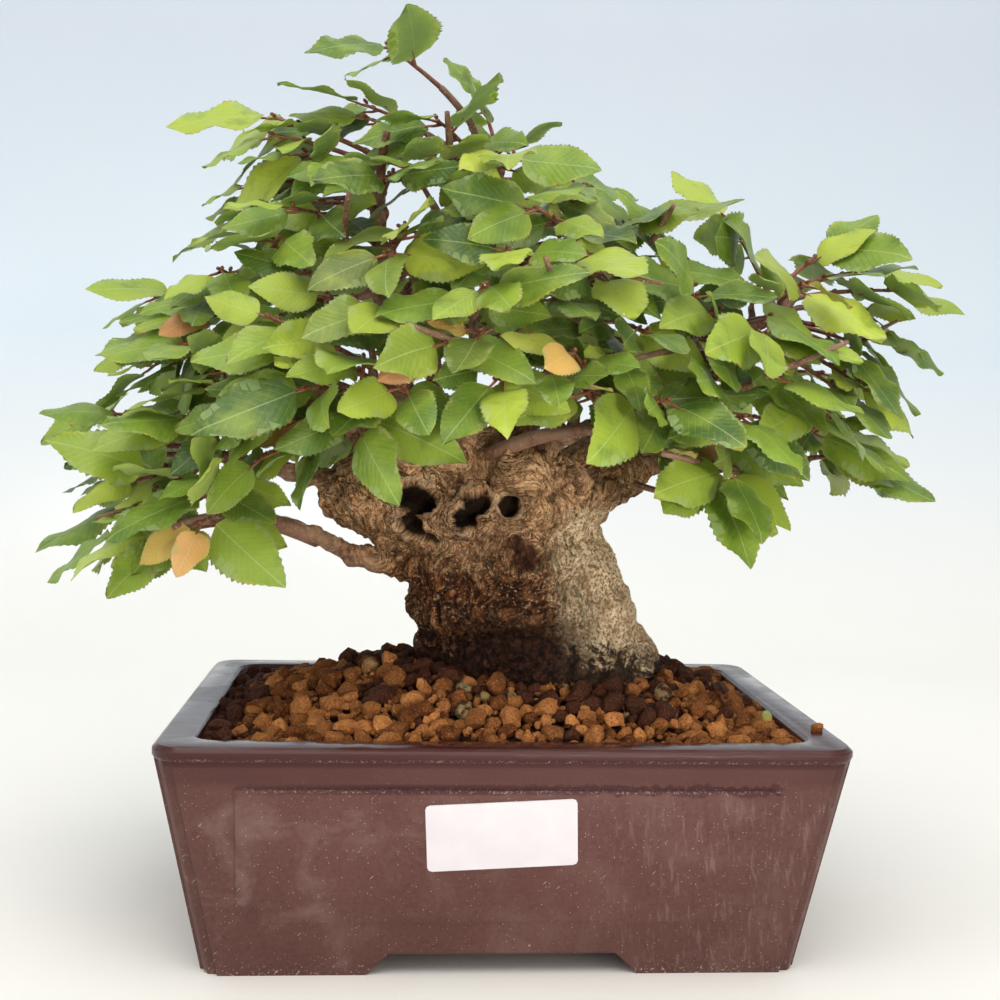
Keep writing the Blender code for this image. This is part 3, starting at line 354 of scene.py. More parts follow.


# %% [markdown]
# The clay is a matt mauve brown. Under a lens it is full of pale specks, short pale fibres and
# dusty patches. The lip is darker, redder and smoother, wet on its flat top, and the panel's
# upper edge holds a dark line of water. A dark band where the lip meets the wall is painted shade,
# and pale glints along the lip's lower edge and the panel's upper edge are painted highlights. On
# the right of the front wall somebody has wiped the dust in upright strokes, and grit sticks to the feet.
# %% The stoneware finish


def stoneware_finish():
    recipe = Recipe("mauve_stoneware", Specular_IOR_Level=0.30)
    spot = recipe.millimetres()
    height = recipe.axis(spot, "Z")
    across = recipe.axis(spot, "X")
    slow = recipe.noise(spot, 30, 3)
    fine = recipe.noise(spot, 1.3, 4, 0.65)
    clay = recipe.blend(recipe.ramp(slow, 0.35, 0.65), (0.094, 0.033, 0.026), (0.115, 0.044, 0.035))
    clay = recipe.blend(recipe.ramp(fine, 0.3, 0.75, 0.0, 0.4), clay, (0.170, 0.078, 0.062))
    clay = recipe.blend(recipe.ramp(fine, 0.42, 0.30, 0.0, 0.5), clay, (0.080, 0.030, 0.024))
    dust_cloud = recipe.noise(spot, 15, 6, 0.66, 0.5)
    to_left = recipe.ramp(across, 10, -60, 0.45, 1.0)
    dust = recipe.both(recipe.ramp(dust_cloud, 0.50, 0.68), recipe.ramp(height, 54, 46), to_left)
    clay = recipe.blend(recipe.ramp(dust, 0, 1, 0.0, 0.5), clay, (0.250, 0.160, 0.135))

    wiped_side = recipe.ramp(across, 16, 44)
    below_lip = recipe.ramp(height, 52, 45)
    strokes = recipe.noise(recipe.millimetres((0.62, 0.62, 0.06), (0, 0.10, 0)), 1, 5, 0.62, 0.3)
    pale_strokes = recipe.both(recipe.ramp(strokes, 0.54, 0.68), wiped_side, below_lip)
    clay = recipe.blend(recipe.ramp(pale_strokes, 0, 1, 0.0, 0.42), clay, (0.27, 0.19, 0.17))
    dark_strokes = recipe.both(recipe.ramp(strokes, 0.42, 0.32), wiped_side, below_lip)
    clay = recipe.blend(recipe.ramp(dark_strokes, 0, 1, 0.0, 0.5), clay, (0.070, 0.028, 0.022))

    specks = recipe.cells(spot, 0.95)
    chosen = recipe.axis(recipe.cells(spot, 0.95, output="Color"), "X")
    speck = recipe.both(recipe.ramp(specks, 0.18, 0.10), recipe.ramp(chosen, 0.40, 1.0, 0.0, 0.85))
    crumb = recipe.cells(spot, 6.0)
    crumb_chosen = recipe.ramp(recipe.axis(recipe.cells(spot, 6.0, output="Color"), "Y"), 0.62, 0.63)
    big_speck = recipe.both(recipe.ramp(crumb, 0.050, 0.036), crumb_chosen)
    fibres = recipe.cells(recipe.millimetres((0.24, 0.24, 1.9), (0.3, 0.7, 0.2)), 2.6)
    more_fibres = recipe.cells(recipe.millimetres((1.9, 1.9, 0.26), (0.1, 0.45, 0.5)), 2.9)
    fibre = recipe.maths("MAXIMUM", recipe.ramp(fibres, 0.075, 0.045), recipe.ramp(more_fibres, 0.065, 0.04))
    fibre = recipe.both(fibre, recipe.ramp(recipe.noise(spot, 9, 2), 0.48, 0.58, 0.0, 0.8))
    grit = recipe.both(recipe.ramp(recipe.noise(spot, 1.0, 3, 0.7), 0.60, 0.66), recipe.ramp(height, 4.5, 1.0))
    marks = recipe.maths("MAXIMUM", recipe.maths("MAXIMUM", speck, big_speck), recipe.maths("MAXIMUM", fibre, grit))
    below_rim = recipe.ramp(height, 57.5, 55.5)
    marks = recipe.both(marks, below_rim)
    clay = recipe.blend(recipe.ramp(marks, 0, 1, 0.0, 0.75), clay, (0.60, 0.52, 0.44))

    red_band = recipe.both(recipe.ramp(height, 51.0, 53.5), recipe.ramp(slow, 0.30, 0.55, 0.50, 0.90))
    clay = recipe.blend(red_band, clay, (0.082, 0.026, 0.022))
    lip = recipe.ramp(height, 57.6, 58.8)
    clay = recipe.blend(recipe.ramp(lip, 0, 1, 0.0, 0.85), clay, (0.062, 0.018, 0.017))
    ragged = recipe.ramp(recipe.noise(spot, 2.6, 4, 0.65), 0.3, 0.7, -1.1, 1.1)
    wet_height = recipe.maths("ADD", height, recipe.both(ragged, recipe.ramp(across, -10, 30)))
    on_panel = recipe.ramp(recipe.maths("ABSOLUTE", recipe.maths("SUBTRACT", across, 2.0)), 69.5, 68.0)
    water_band = recipe.both(recipe.ramp(wet_height, 49.9, 50.5), recipe.ramp(wet_height, 52.9, 52.3), on_panel)
    water = recipe.both(water_band, recipe.ramp(across, -66, -30, 0.35, 1.0))
    # Painted shade: a dark band where the lip meets the wall, which is also made glossy.
    lip_shade_band = recipe.both(recipe.ramp(height, 56.6, 57.4), recipe.ramp(height, 60.6, 59.6))
    water_and_lip_shade = recipe.maths("MAXIMUM", water, lip_shade_band)
    clay = recipe.blend(recipe.ramp(water_and_lip_shade, 0, 1, 0.0, 0.85), clay, (0.052, 0.011, 0.010))
    # Painted highlights: pale glints along the lip's lower edge and the panel's upper edge, in the base colour.
    glints = recipe.ramp(recipe.noise(spot, 0.7, 3, 0.75), 0.54, 0.64)
    lip_glint = recipe.both(recipe.ramp(height, 58.2, 58.6), recipe.ramp(height, 59.5, 59.0))
    panel_glint = recipe.both(recipe.ramp(height, 50.3, 50.8), recipe.ramp(height, 51.8, 51.2), on_panel)
    glint = recipe.both(glints, recipe.maths("MAXIMUM", lip_glint, panel_glint))
    clay = recipe.blend(recipe.ramp(glint, 0, 1, 0.0, 0.65), clay, (0.40, 0.30, 0.29))

    rim_top = recipe.ramp(height, 61.2, 61.8)
    rough = recipe.ramp(dust, 0, 1, 0.50, 0.66)
    rough = recipe.maths("SUBTRACT", rough, recipe.ramp(recipe.maths("MAXIMUM", lip, water_and_lip_shade), 0, 1, 0, 0.18))
    drying = recipe.ramp(recipe.noise(spot, 22, 3, 0.5, 0.8), 0.40, 0.62, 0.05, 0.26)
    rough = recipe.node("Mix", {0: rim_top, 2: rough, 3: drying}, 0)
    peel = recipe.noise(spot, 0.7, 3, 0.6)
    dents = recipe.noise(spot, 6.0, 2)
    matt = recipe.ramp(recipe.maths("MAXIMUM", rim_top, water_and_lip_shade), 0, 1, 1.0, 0.25)
    relief = recipe.bump(recipe.both(peel, matt), 0.10, recipe.bump(dents, 0.12))
    relief = recipe.bump(marks, 0.05, relief)
    return recipe.done(Base_Color=clay, Roughness=rough, Normal=relief)


pot_body = add_piece("pot_body", eased_pot_mesh(), [stoneware_finish()], ["pot"])

# %% [markdown]
# The label is plain self-adhesive paper with a satin face. The drainage mesh is black moulded
# plastic, out of sight under the soil. Both keep their plain solids, which are thin and flat, and
# only get a finish.
# %% Label and drainage mesh


def label_finish():
    recipe = Recipe("satin_label_paper", Specular_IOR_Level=0.4)
    spot = recipe.millimetres()
    pulp = recipe.noise(spot, 0.5, 4, 0.7)
    cloud = recipe.noise(spot, 9, 2)
    paper = recipe.blend(recipe.ramp(cloud, 0.3, 0.7), (0.76, 0.71, 0.73), (0.82, 0.77, 0.79))
    paper = recipe.blend(recipe.ramp(pulp, 0.3, 0.8, 0.0, 0.2), paper, (0.70, 0.67, 0.68))
    soil_mark = recipe.ramp(recipe.noise(spot, 1.4, 4, 0.7), 0.70, 0.76, 0.0, 0.5)
    paper = recipe.blend(soil_mark, paper, (0.45, 0.33, 0.26))
    rough = recipe.ramp(pulp, 0.3, 0.7, 0.38, 0.52)
    return recipe.done(Base_Color=paper, Roughness=rough, Normal=recipe.bump(pulp, 0.02))


def drain_plastic_finish():
    recipe = Recipe("black_mesh_plastic")
    spot = recipe.millimetres()
    grain = recipe.noise(spot, 0.6, 3, 0.6)
    dirt = recipe.ramp(recipe.noise(spot, 5, 4, 0.6), 0.52, 0.66)
    plastic = recipe.blend(recipe.ramp(grain, 0.3, 0.7), (0.012, 0.012, 0.013), (0.028, 0.027, 0.027))
    plastic = recipe.blend(recipe.ramp(dirt, 0, 1, 0.0, 0.5), plastic, (0.13, 0.07, 0.04))
    rough = recipe.ramp(dirt, 0, 1, 0.38, 0.8)
    return recipe.done(Base_Color=plastic, Roughness=rough, Normal=recipe.bump(grain, 0.05))


def dress(node, finish):
    for place in frame["nodes"][node].material_slots:
        place.material = finish


dress("label", label_finish())
for side in ("left", "right"):
    dress("drain_mesh_" + side, drain_plastic_finish())
print("label and drainage mesh dressed")

# %% [markdown]
# The wood is a burl as wide as a fist, with limbs that leave it on all sides. The burl is a heap
# of ellipsoids that melt together, with hollows where old wounds healed, and a limb is a few points
# with a radius at its root and at its tip. The plain solids come from the same numbers, because a
# finer piece has to grow in the same place.
# %% Burl, hollows and limbs
GAP = 0.3 * MM

# Ellipsoids that merge into the burl: centre and radii in millimetres
BURL = [
    ((13, 0, 66), (38, 31, 19)),
    ((12, 0, 79), (32, 28, 17)),
    ((5, -1, 92), (31, 28, 17)),
    ((0, -2, 105), (30, 29, 16)),
    ((-6, -3, 117), (33, 30, 16)),
    ((-27, -3, 123), (25, 25, 14)),
    ((12, -4, 121), (19, 25, 15)),
    ((-12, 0, 130), (33, 27, 13)),
    ((31, -3, 129), (12, 11, 9)),
    ((39, -4, 75), (9, 13, 12)),
    ((-8, 11, 82), (12, 14, 11)),
    ((10, -21, 74), (13, 9, 11)),
    ((6, -27, 131), (10, 9, 9)),
]

# Hollows and healed knots on the burl: place on the bark, radius and depth in millimetres
HOLLOWS = [
    ((-24, -30, 123), 5.5, 8),
    ((-8, -33, 124.5), 4.5, 8),
    ((-11.5, -33, 118), 4.0, 7),
    ((1.5, -32, 122), 3.2, 7),
    ((-28, -30, 113), 4.6, 6),
    ((-22, -30, 109), 2.8, 4),
    ((6.5, -29, 106.5), 4.8, 4),
    ((20, 26, 112), 5.0, 7),
    ((-16, 28, 120), 4.2, 6),
]

# Limbs: points in millimetres, then the radius at the root and at the tip
LIMBS = {
    "apex": (
        [(-22, -4, 126), (-30, -7, 152), (-35, -5, 181), (-36, 0, 204), (-41, 2, 216)], 6.4, 1.2),
    "crown_right": (
        [(-33, -5, 170), (-20, 3, 192), (-9, 6, 208), (0, 5, 217)], 3.6, 1.2),
    "centre": (
        [(0, -6, 128), (12, -12, 152), (20, -14, 176), (25, -12, 190)], 4.6, 1.2),
    "right_low": (
        [(26, -4, 126), (41, -6, 133), (59, -6, 134), (77, -5, 132), (92, -5, 134)], 5.2, 1.2),
    "right_up": (
        [(20, -2, 128), (36, -10, 148), (54, -12, 162), (72, -8, 173), (86, -6, 179)], 4.6, 1.2),
    "left_low": (
        [(-26, -6, 101), (-42, -12, 105), (-53, -16, 112), (-66, -20, 117), (-80, -23, 116)], 3.6, 1.2),
    "left_mid": ([(-36, -3, 122), (-56, -7, 128), (-76, -6, 132), (-90, -2, 134)], 4.8, 1.2),
    "left_up": ([(-30, 0, 130), (-50, 0, 150), (-66, 2, 166), (-78, 4, 180)], 4.6, 1.2),
    "front_left": ([(-22, -18, 128), (-32, -34, 139), (-40, -46, 150)], 4.0, 1.3),
    "front_right": ([(4, -22, 130), (13, -38, 142), (28, -44, 146)], 4.2, 1.3),
    "front": ([(-10, -18, 132), (-12, -34, 150), (-10, -43, 166)], 3.6, 1.2),
    "back_left": ([(-28, 14, 126), (-44, 34, 142), (-58, 48, 154)], 4.6, 1.2),
    "back_right": ([(14, 14, 126), (34, 32, 142), (54, 42, 154)], 4.6, 1.2),
    "back": ([(-4, 18, 128), (-6, 38, 144), (-6, 54, 156)], 4.2, 1.2),
    "back_apex": ([(-18, 8, 130), (-20, 24, 160), (-18, 36, 186)], 4.4, 1.2),
}


def limb_paths():
    """Each limb as a list of points with a radius, in metres."""
    paths = {}
    for name, (points, root, tip) in LIMBS.items():
        path = []
        for step, point in enumerate(points):
            share = step / (len(points) - 1)
            path.append((Vector(point) * MM, (root + (tip - root) * share ** 0.7) * MM))
        paths[name] = path
    return paths


print(len(LIMBS), "limbs on a burl of", len(BURL), "swellings")

# %% [markdown]
# The crown is made of leafy sprays. Each one hangs from a limb by a woody twig and ends in a young
# shoot with a leaf at every joint, left and right in turn. A spray is written down by its limb, the
# tip of its shoot, its number of side leaves, and how far its blades turn to the light.
# %% The sprays of the crown
# Sprays: the limb that bears each one, the tip of its shoot in millimetres, its number of
# side leaves, and how far its blades turn from lying flat (0) to facing outwards (1)
SPRAYS = [
    ("left_low", (-104, -26, 115), 4, 0.55),
    ("left_low", (-80, -43, 118), 4, 0.85),
    ("left_mid", (-107, 14, 126), 4, 0.55),
    ("left_mid", (-115, 8, 147), 4, 0.60),
    ("left_mid", (-86, -30, 145), 4, 0.65),
    ("front_left", (-64, -50, 136), 4, 0.75),
    ("left_up", (-92, -4, 162), 4, 0.50),
    ("left_up", (-101, 10, 181), 3, 0.30),
    ("left_up", (-78, -24, 186), 4, 0.55),
    ("apex", (-74, 4, 206), 4, 0.45),
    ("front_left", (-62, -48, 172), 4, 0.75),
    ("apex", (-66, 2, 233), 4, 0.60),
    ("apex", (-58, -28, 203), 4, 0.60),
    ("apex", (-56, -10, 220), 3, 0.60),
    ("apex", (-32, -38, 211), 3, 0.60),
    ("crown_right", (-34, 0, 253), 2, 0.60),
    ("crown_right", (-20, -22, 229), 4, 0.50),
    ("crown_right", (-8, 4, 236), 3, 0.40),
    ("crown_right", (0, -35, 218), 4, 0.65),
    ("crown_right", (22, 0, 216), 3, 0.40),
    ("centre", (36, -12, 203), 4, 0.45),
    ("centre", (6, -44, 203), 4, 0.70),
    ("centre", (22, -50, 186), 4, 0.75),
    ("apex", (-32, -52, 190), 4, 0.75),
    ("front", (-8, -62, 180), 4, 0.80),
    ("centre", (34, -50, 171), 3, 0.70),
    ("front_left", (-28, -64, 154), 3, 0.85),
    ("front", (-4, -64, 156), 3, 0.80),
    ("front_left", (-52, -58, 153), 4, 0.80),
    ("front_right", (14, -62, 164), 3, 0.75),
    ("front_right", (38, -58, 152), 3, 0.75),
    ("right_up", (48, -40, 184), 4, 0.60),
    ("right_up", (66, -6, 206), 4, 0.50),
    ("right_up", (95, -2, 201), 4, 0.55),
    ("right_up", (112, -14, 187), 4, 0.50),
    ("right_up", (111, -8, 173), 4, 0.55),
    ("right_up", (80, -26, 188), 3, 0.60),
    ("right_up", (66, -46, 172), 4, 0.65),
    ("right_low", (60, -50, 150), 4, 0.75),
    ("right_low", (84, -38, 154), 4, 0.65),
    ("right_low", (93, -20, 149), 4, 0.55),
    ("right_low", (102, -4, 137), 4, 0.60),
    ("right_low", (54, -36, 133), 2, 0.70),
    ("back_left", (-92, 36, 150), 3, 0.45),
    ("back_left", (-70, 57, 160), 3, 0.60),
    ("back_left", (-46, 60, 140), 3, 0.75),
    ("back_apex", (-54, 44, 198), 3, 0.50),
    ("back_apex", (-26, 56, 194), 3, 0.65),
    ("back_apex", (0, 42, 210), 3, 0.45),
    ("back_apex", (24, 44, 198), 4, 0.50),
    ("back", (-4, 60, 172), 4, 0.70),
    ("back_right", (36, 57, 162), 4, 0.65),
    ("back_right", (68, 52, 168), 3, 0.50),
    ("back_right", (92, 36, 160), 4, 0.50),
]
CROWN_CENTRE = Vector((0, 0, 140 * MM))


print(len(SPRAYS), "sprays")

# %% [markdown]
# A twig starts where the limb passes nearest to the shoot, set back a little towards the trunk, and
# curves out until it lies in line with the shoot, as a twig does that grew towards the light.
# %% The way of a twig
TWIG_ROOT_LIMIT = 1.9 * MM
TWIG_TIP_RADIUS = 0.85 * MM
TWIG_SWEEP = 0.15
TWIG_OF_LIMB = 0.62
TWIG_ROOM = 0.5 * MM
LIMB_ROOM = 0.6 * MM
BURL_ROOM = 2 * MM


def nearest_on(path, target, back):
    """Where on a limb the twig to the target starts, moved back towards the limb's root."""
    best = None
    for (start, radius_a), (end, radius_b) in zip(path, path[1:]):
        along = end - start
        share = max(0.0, min(1.0, (target - start).dot(along) / along.length_squared))
        share = max(0.0, share - back * (target - start - along * share).length / along.length)
        spot = start + along * share
        distance = (target - spot).length
        if best is None or distance < best[0]:
            best = (distance, spot, radius_a + (radius_b - radius_a) * share, along.normalized())
    return best[1:]


def twig_path(spot, direction, base, heading):
    """A twig from inside a limb to the base of a shoot, ending straight along the shoot."""
    reach = (base - spot).length
    lead = min(3 * MM, 0.3 * reach)
    knee = base - heading * lead
    first = spot + direction * 0.30 * reach + (base - spot) * 0.22
    second = knee - heading * 0.28 * reach
    path = []
    for step in range(2):
        t = step / 2
        start_part = spot * (1 - t) ** 3 + first * 3 * t * (1 - t) ** 2
        path.append(start_part + second * 3 * t * t * (1 - t) + knee * t ** 3)
    return path + [knee, base]

# %% [markdown]
# Leaves may not cut through each other. Every shoot, twig and blade that is in place becomes a
# small search tree, and a new one is tested against those near it.
# %% Keeping clear
def prism(start, end, half_a, half_b):
    """The points and faces of a four-sided bar between two points."""
    along = (end - start).normalized()
    side = along.orthogonal().normalized()
    up = along.cross(side)
    points = []
    for centre, half in ((start, half_a), (end, half_b)):
        for across, above in ((-1, -1), (1, -1), (1, 1), (-1, 1)):
            points.append(centre + side * half * across + up * half * above)
    faces = [(0, 1, 5, 4), (1, 2, 6, 5), (2, 3, 7, 6), (3, 0, 4, 7), (0, 3, 2, 1), (4, 5, 6, 7)]
    return points, faces


class Body:
    """Something already in place, that later leaves and shoots keep clear of."""

    def __init__(self, points, faces):
        self.tree = BVHTree.FromPolygons(points, faces)
        self.centre = sum(points, Vector()) / len(points)
        self.reach = max((point - self.centre).length for point in points)

    def meets(self, other):
        if (self.centre - other.centre).length > self.reach + other.reach:
            return False
        return bool(self.tree.overlap(other.tree))


def bar_body(path, halves):
    points = []
    faces = []
    for (start, half_a), (end, half_b) in zip(zip(path, halves), list(zip(path, halves))[1:]):
        more, sides = prism(start, end, half_a, half_b)
        faces += [tuple(index + len(points) for index in side) for side in sides]
        points += more
    return Body(points, faces)


def inside_burl(point, margin):
    for centre, radii in BURL:
        away = point - Vector(centre) * MM
        share = sum((away[axis] / (radii[axis] * MM + margin)) ** 2 for axis in range(3))
        if share < 1.0:
            return True
    return False

# %% [markdown]
# A shoot sags a little under its leaves, and its blades turn outwards to the light, which for a
# tree seen from the front means outwards and to the front. Every twig and shoot is aimed first, a
# little moved until it clears all others.
# %% Aiming the shoots
SHOOT_HALF = 0.65 * MM
SHOOT_TIP_HALF = 0.5 * MM
NODE_SPACING = 7.4 * MM
SHOOT_SAG = 0.10
SHOOT_FLATTEN = 0.55
SHOOT_TAIL = 0.6
SHOOT_OF_REACH = 0.8
SHOOT_LEAN = 0.4
SHOOT_ROOM = 0.4 * MM
FRONT_TURN = 1.1
BACK_FROM = 18 * MM
SPRAY_TRIES = 24
AIM_STEP = 0.5 * MM
SPRAY_SEED = 4


class Spray:
    """One leafy spray: the path of its twig and shoot, and the leaves set on the shoot."""

    def __init__(self, index, limb, tip, leaves, facing):
        self.name = f"spray_{index:02d}"
        self.limb = limb
        self.target = tip
        self.leaf_count = leaves
        self.facing = facing
        self.leaves = {}

    def aim(self, path, jitter):
        """Works out the twig and the shoot for a slightly moved tip."""
        tip = self.target + jitter
        spot, radius, direction = nearest_on(path, tip, TWIG_SWEEP)
        reach = tip - spot
        self.length = min((self.leaf_count + SHOOT_TAIL) * NODE_SPACING, SHOOT_OF_REACH * reach.length)
        self.heading = Vector((reach.x, reach.y, SHOOT_FLATTEN * reach.z)).normalized()
        self.base = tip - self.heading * self.length
        self.twig = twig_path(spot, direction, self.base, self.heading)
        root = min(TWIG_OF_LIMB * radius, TWIG_ROOT_LIMIT)
        self.twig_radii = [root + (TWIG_TIP_RADIUS - root) * step / 3 for step in range(4)]

    def spine(self):
        """Points along the shoot: one stretch for each side leaf, and a last one at its end."""
        start = self.base + self.heading * GAP
        points = []
        count = self.leaf_count + 1
        for step in range(count + 1):
            share = step / count
            sag = Vector((0, 0, -SHOOT_SAG * self.length * share * share))
            points.append(start + self.heading * (self.length * share) + sag)
        return points

    def outward(self):
        """The level direction that the spray faces, away from the crown's middle."""
        away = self.base - CROWN_CENTRE
        away.z = 0
        return (away.normalized() + Vector((self.heading.x, self.heading.y, 0))).normalized()

    def lit_side(self):
        """The direction the blades turn to: outward, and to the front or the back of the tree."""
        depth = -FRONT_TURN if self.base.y < BACK_FROM else FRONT_TURN
        return (self.outward() + Vector((0, depth, 0))).normalized()

    def frame(self):
        """Across and up of the shoot."""
        lean = Vector((0, 0, 1)) + self.outward() * SHOOT_LEAN * self.facing
        across = self.heading.cross(lean)
        across.normalize()
        return across, across.cross(self.heading).normalized()


def plan_sprays():
    """Aims every twig and shoot, so that shoots clear all wood and each other."""
    draw = random.Random(SPRAY_SEED)
    paths = limb_paths()
    wood = []
    for path in paths.values():
        halves = [radius + LIMB_ROOM for point, radius in path]
        wood.append(bar_body([point for point, radius in path], halves))
    shoots = []
    sprays = []
    for index, (limb, tip, leaves, facing) in enumerate(SPRAYS, start=1):
        spray = Spray(index, limb, Vector(tip) * MM, leaves, facing)
        for attempt in range(SPRAY_TRIES):
            spread = attempt * AIM_STEP
            jitter = Vector([draw.uniform(-spread, spread) for axis in range(3)])
            spray.aim(paths[limb], jitter)
            twig = bar_body(spray.twig, [radius + TWIG_ROOM for radius in spray.twig_radii])
            spine = spray.spine()
            shoot = bar_body(spine, [SHOOT_HALF + SHOOT_ROOM] * len(spine))
            free = shoot_is_free(shoot, wood, shoots) and not any(twig.meets(other) for other in shoots)
            if free and not any(inside_burl(point, BURL_ROOM) for point in spine):
                break
        wood.append(twig)
        shoots.append(shoot)
        sprays.append(spray)
    return sprays, wood, shoots


def shoot_is_free(shoot, wood, shoots):
    return not any(shoot.meets(other) for other in wood + shoots)

# %% [markdown]
# A hornbeam leaf is an egg-shaped blade on a short stalk. It droops towards its tip and folds a
# little along its midrib. Its frame is the direction of the midrib, the direction across, and up.
# %% One leaf
PETIOLE_LENGTH = 3.4 * MM
PETIOLE_HALF = 0.5 * MM
PETIOLE_ROOT = 1.2 * MM
LEAF_LENGTH = 25 * MM
LEAF_ASPECT = 0.58
LEAF_SIZES = (0.62, 1.16)
LEAF_ANGLE = 52
SIDE_LEAF_SWING = 16
END_LEAF_SWING = 26
LEAF_DIP = 0.04
LEAF_HANG = 0.30
LEAF_NOD = 0.34
LEAF_ROLL = 26
LEAF_DROOPS = (0.04, 0.20)
LEAF_FOLDS = (-0.02, 0.16)
LEAF_SHRINK = 0.35
LEAST_UPRIGHT = 0.25
LEAF_THICKNESS = 1.2 * MM
LEAF_CLEARANCE = 0.45 * MM
LEAF_BURL_ROOM = 1.5 * MM
LEAF_TRIES = 36


# Each side of a blade: place along the midrib and half width, teeth and notches in turn
BLADE_RIM = [(0.16, 0.86), (0.27, 0.80), (0.45, 1.00), (0.56, 0.80), (0.76, 0.62)]
BLADE_MIDRIB = [0.34, 0.68]


class Leaf:
    """One toothed blade on its petiole, in the frame: along the midrib, across, and up."""

    def __init__(self, root, along, across, up, length, droop, fold):
        self.root = root
        self.along = along
        self.across = across
        self.up = up
        self.length = length
        self.droop = droop
        self.fold = fold

    def spot(self, share, side, lift=0.0):
        """A point of the blade: share along the midrib, side across in metres, lift above."""
        start = self.root + self.along * PETIOLE_LENGTH
        height = -self.droop * self.length * share * share + self.fold * abs(side) + lift
        return start + self.along * (self.length * share) + self.across * side + self.up * height

    def points(self, grow=0.0):
        """Petiole end, left rim, tip, right rim, and the midrib above and below."""
        half = 0.5 * LEAF_ASPECT * self.length
        end = PETIOLE_HALF + grow
        square = ((-1, -1), (-1, 1), (1, 1), (1, -1))
        corners = [self.spot(0, side * end, lift * end) for side, lift in square]
        left = [self.spot(share, -(half * wide + grow)) for share, wide in BLADE_RIM]
        right = [self.spot(share, half * wide + grow) for share, wide in BLADE_RIM]
        tip = self.spot(1 + grow / self.length, 0)
        thick = LEAF_THICKNESS / 2 + grow
        above = [self.spot(share, 0, thick) for share in BLADE_MIDRIB]
        below = [self.spot(share, 0, -thick) for share in BLADE_MIDRIB]
        return corners + left + [tip] + right + above + below


# Indices into Leaf.points: corners 0-3, left rim 4-8, tip 9, right rim 10-14, midrib 15-18
def blade_faces():
    """Both faces of a blade, split alike, and the two slivers beside the petiole."""
    faces = []
    for corner_left, corner_right, near, far in ((1, 2, 15, 16), (0, 3, 17, 18)):
        for corner, rim in ((corner_left, (4, 5, 6, 7, 8)), (corner_right, (10, 11, 12, 13, 14))):
            faces.append((corner, rim[0], near))
            faces.append((rim[0], rim[1], near))
            faces.append((rim[1], rim[2], near))
            faces.append((near, rim[2], far))
            faces.append((rim[2], rim[3], far))
            faces.append((rim[3], rim[4], far))
            faces.append((rim[4], 9, far))
        faces.append((corner_left, near, corner_right))
    faces.append((1, 0, 4))
    faces.append((2, 3, 10))
    return faces


BLADE_FACES = blade_faces()


def leaf_body(leaf, grow=0.0):
    """The blade and the outer part of its petiole, as a body to test with."""
    points = leaf.points(grow)
    half = PETIOLE_HALF + grow
    stalk, sides = prism(leaf.root + leaf.along * PETIOLE_ROOT, leaf.spot(0, 0), half, half)
    faces = BLADE_FACES + [tuple(index + len(points) for index in side) for side in sides]
    return Body(points + stalk, faces)


def web_body(spray, rank, leaf):
    """The web between a petiole and the stretch of shoot that it grows out of."""
    spine = spray.spine()
    start = len(spine) - 1 - rank
    stretch = [spine[start], spine[min(start + 1, len(spine) - 1)] + leaf.along * GAP]
    return Body(stretch + leaf.points()[:4], [(0, 1, 2), (0, 1, 3), (0, 1, 4), (0, 1, 5)])

# %% [markdown]
# Leaves are set by rank, the ones at the ends of the shoots first. A leaf that meets something is
# turned, tilted and made smaller until it fits, and left out if it never does.
# %% Setting the leaves
def propose_leaf(spray, rank, attempt, draw):
    """A leaf for one place on the shoot: rank 0 ends it, the others stand left and right in turn."""
    spine = spray.spine()
    across, up = spray.frame()
    shrink = 1 - LEAF_SHRINK * attempt / LEAF_TRIES
    loose = 1 + attempt / LEAF_TRIES
    length = LEAF_LENGTH * draw.uniform(*LEAF_SIZES) * shrink
    droop = draw.uniform(*LEAF_DROOPS)
    fold = draw.uniform(*LEAF_FOLDS)
    if rank == 0:
        heading = (spine[-1] - spine[-2]).normalized()
        root = spine[-1]
        turn = math.radians(draw.uniform(-END_LEAF_SWING, END_LEAF_SWING) * loose)
        sign = 1
        along = heading * math.cos(turn) + across * math.sin(turn)
    else:
        step = len(spine) - 1 - rank
        heading = (spine[step + 1] - spine[step]).normalized()
        sign = 1 if rank % 2 else -1
        root = (spine[step] + spine[step + 1]) / 2 + across * sign * SHOOT_HALF
        turn = math.radians(LEAF_ANGLE + draw.uniform(-SIDE_LEAF_SWING, SIDE_LEAF_SWING) * loose)
        along = heading * math.cos(turn) + across * sign * math.sin(turn)
    dip = LEAF_DIP + LEAF_HANG * spray.facing + draw.uniform(-LEAF_NOD, LEAF_NOD) * loose
    along = (along - Vector((0, 0, dip))).normalized()
    roll = math.radians(draw.uniform(-LEAF_ROLL, LEAF_ROLL) * loose)
    face = up * (1 - spray.facing) + spray.lit_side() * spray.facing
    normal = (face - along * face.dot(along)).normalized()
    normal = normal * math.cos(roll) + along.cross(normal) * math.sin(roll)
    level = (up - along * up.dot(along)).normalized()
    turned = normal
    for share in (0.25, 0.5, 0.75, 1.0):
        if normal.dot(up) >= LEAST_UPRIGHT:
            break
        normal = turned.lerp(level, share).normalized()
    side = along.cross(normal)
    if side.dot(heading if rank else across) < 0:
        side = -side
    return Leaf(root, along, side, normal, length, droop, fold)


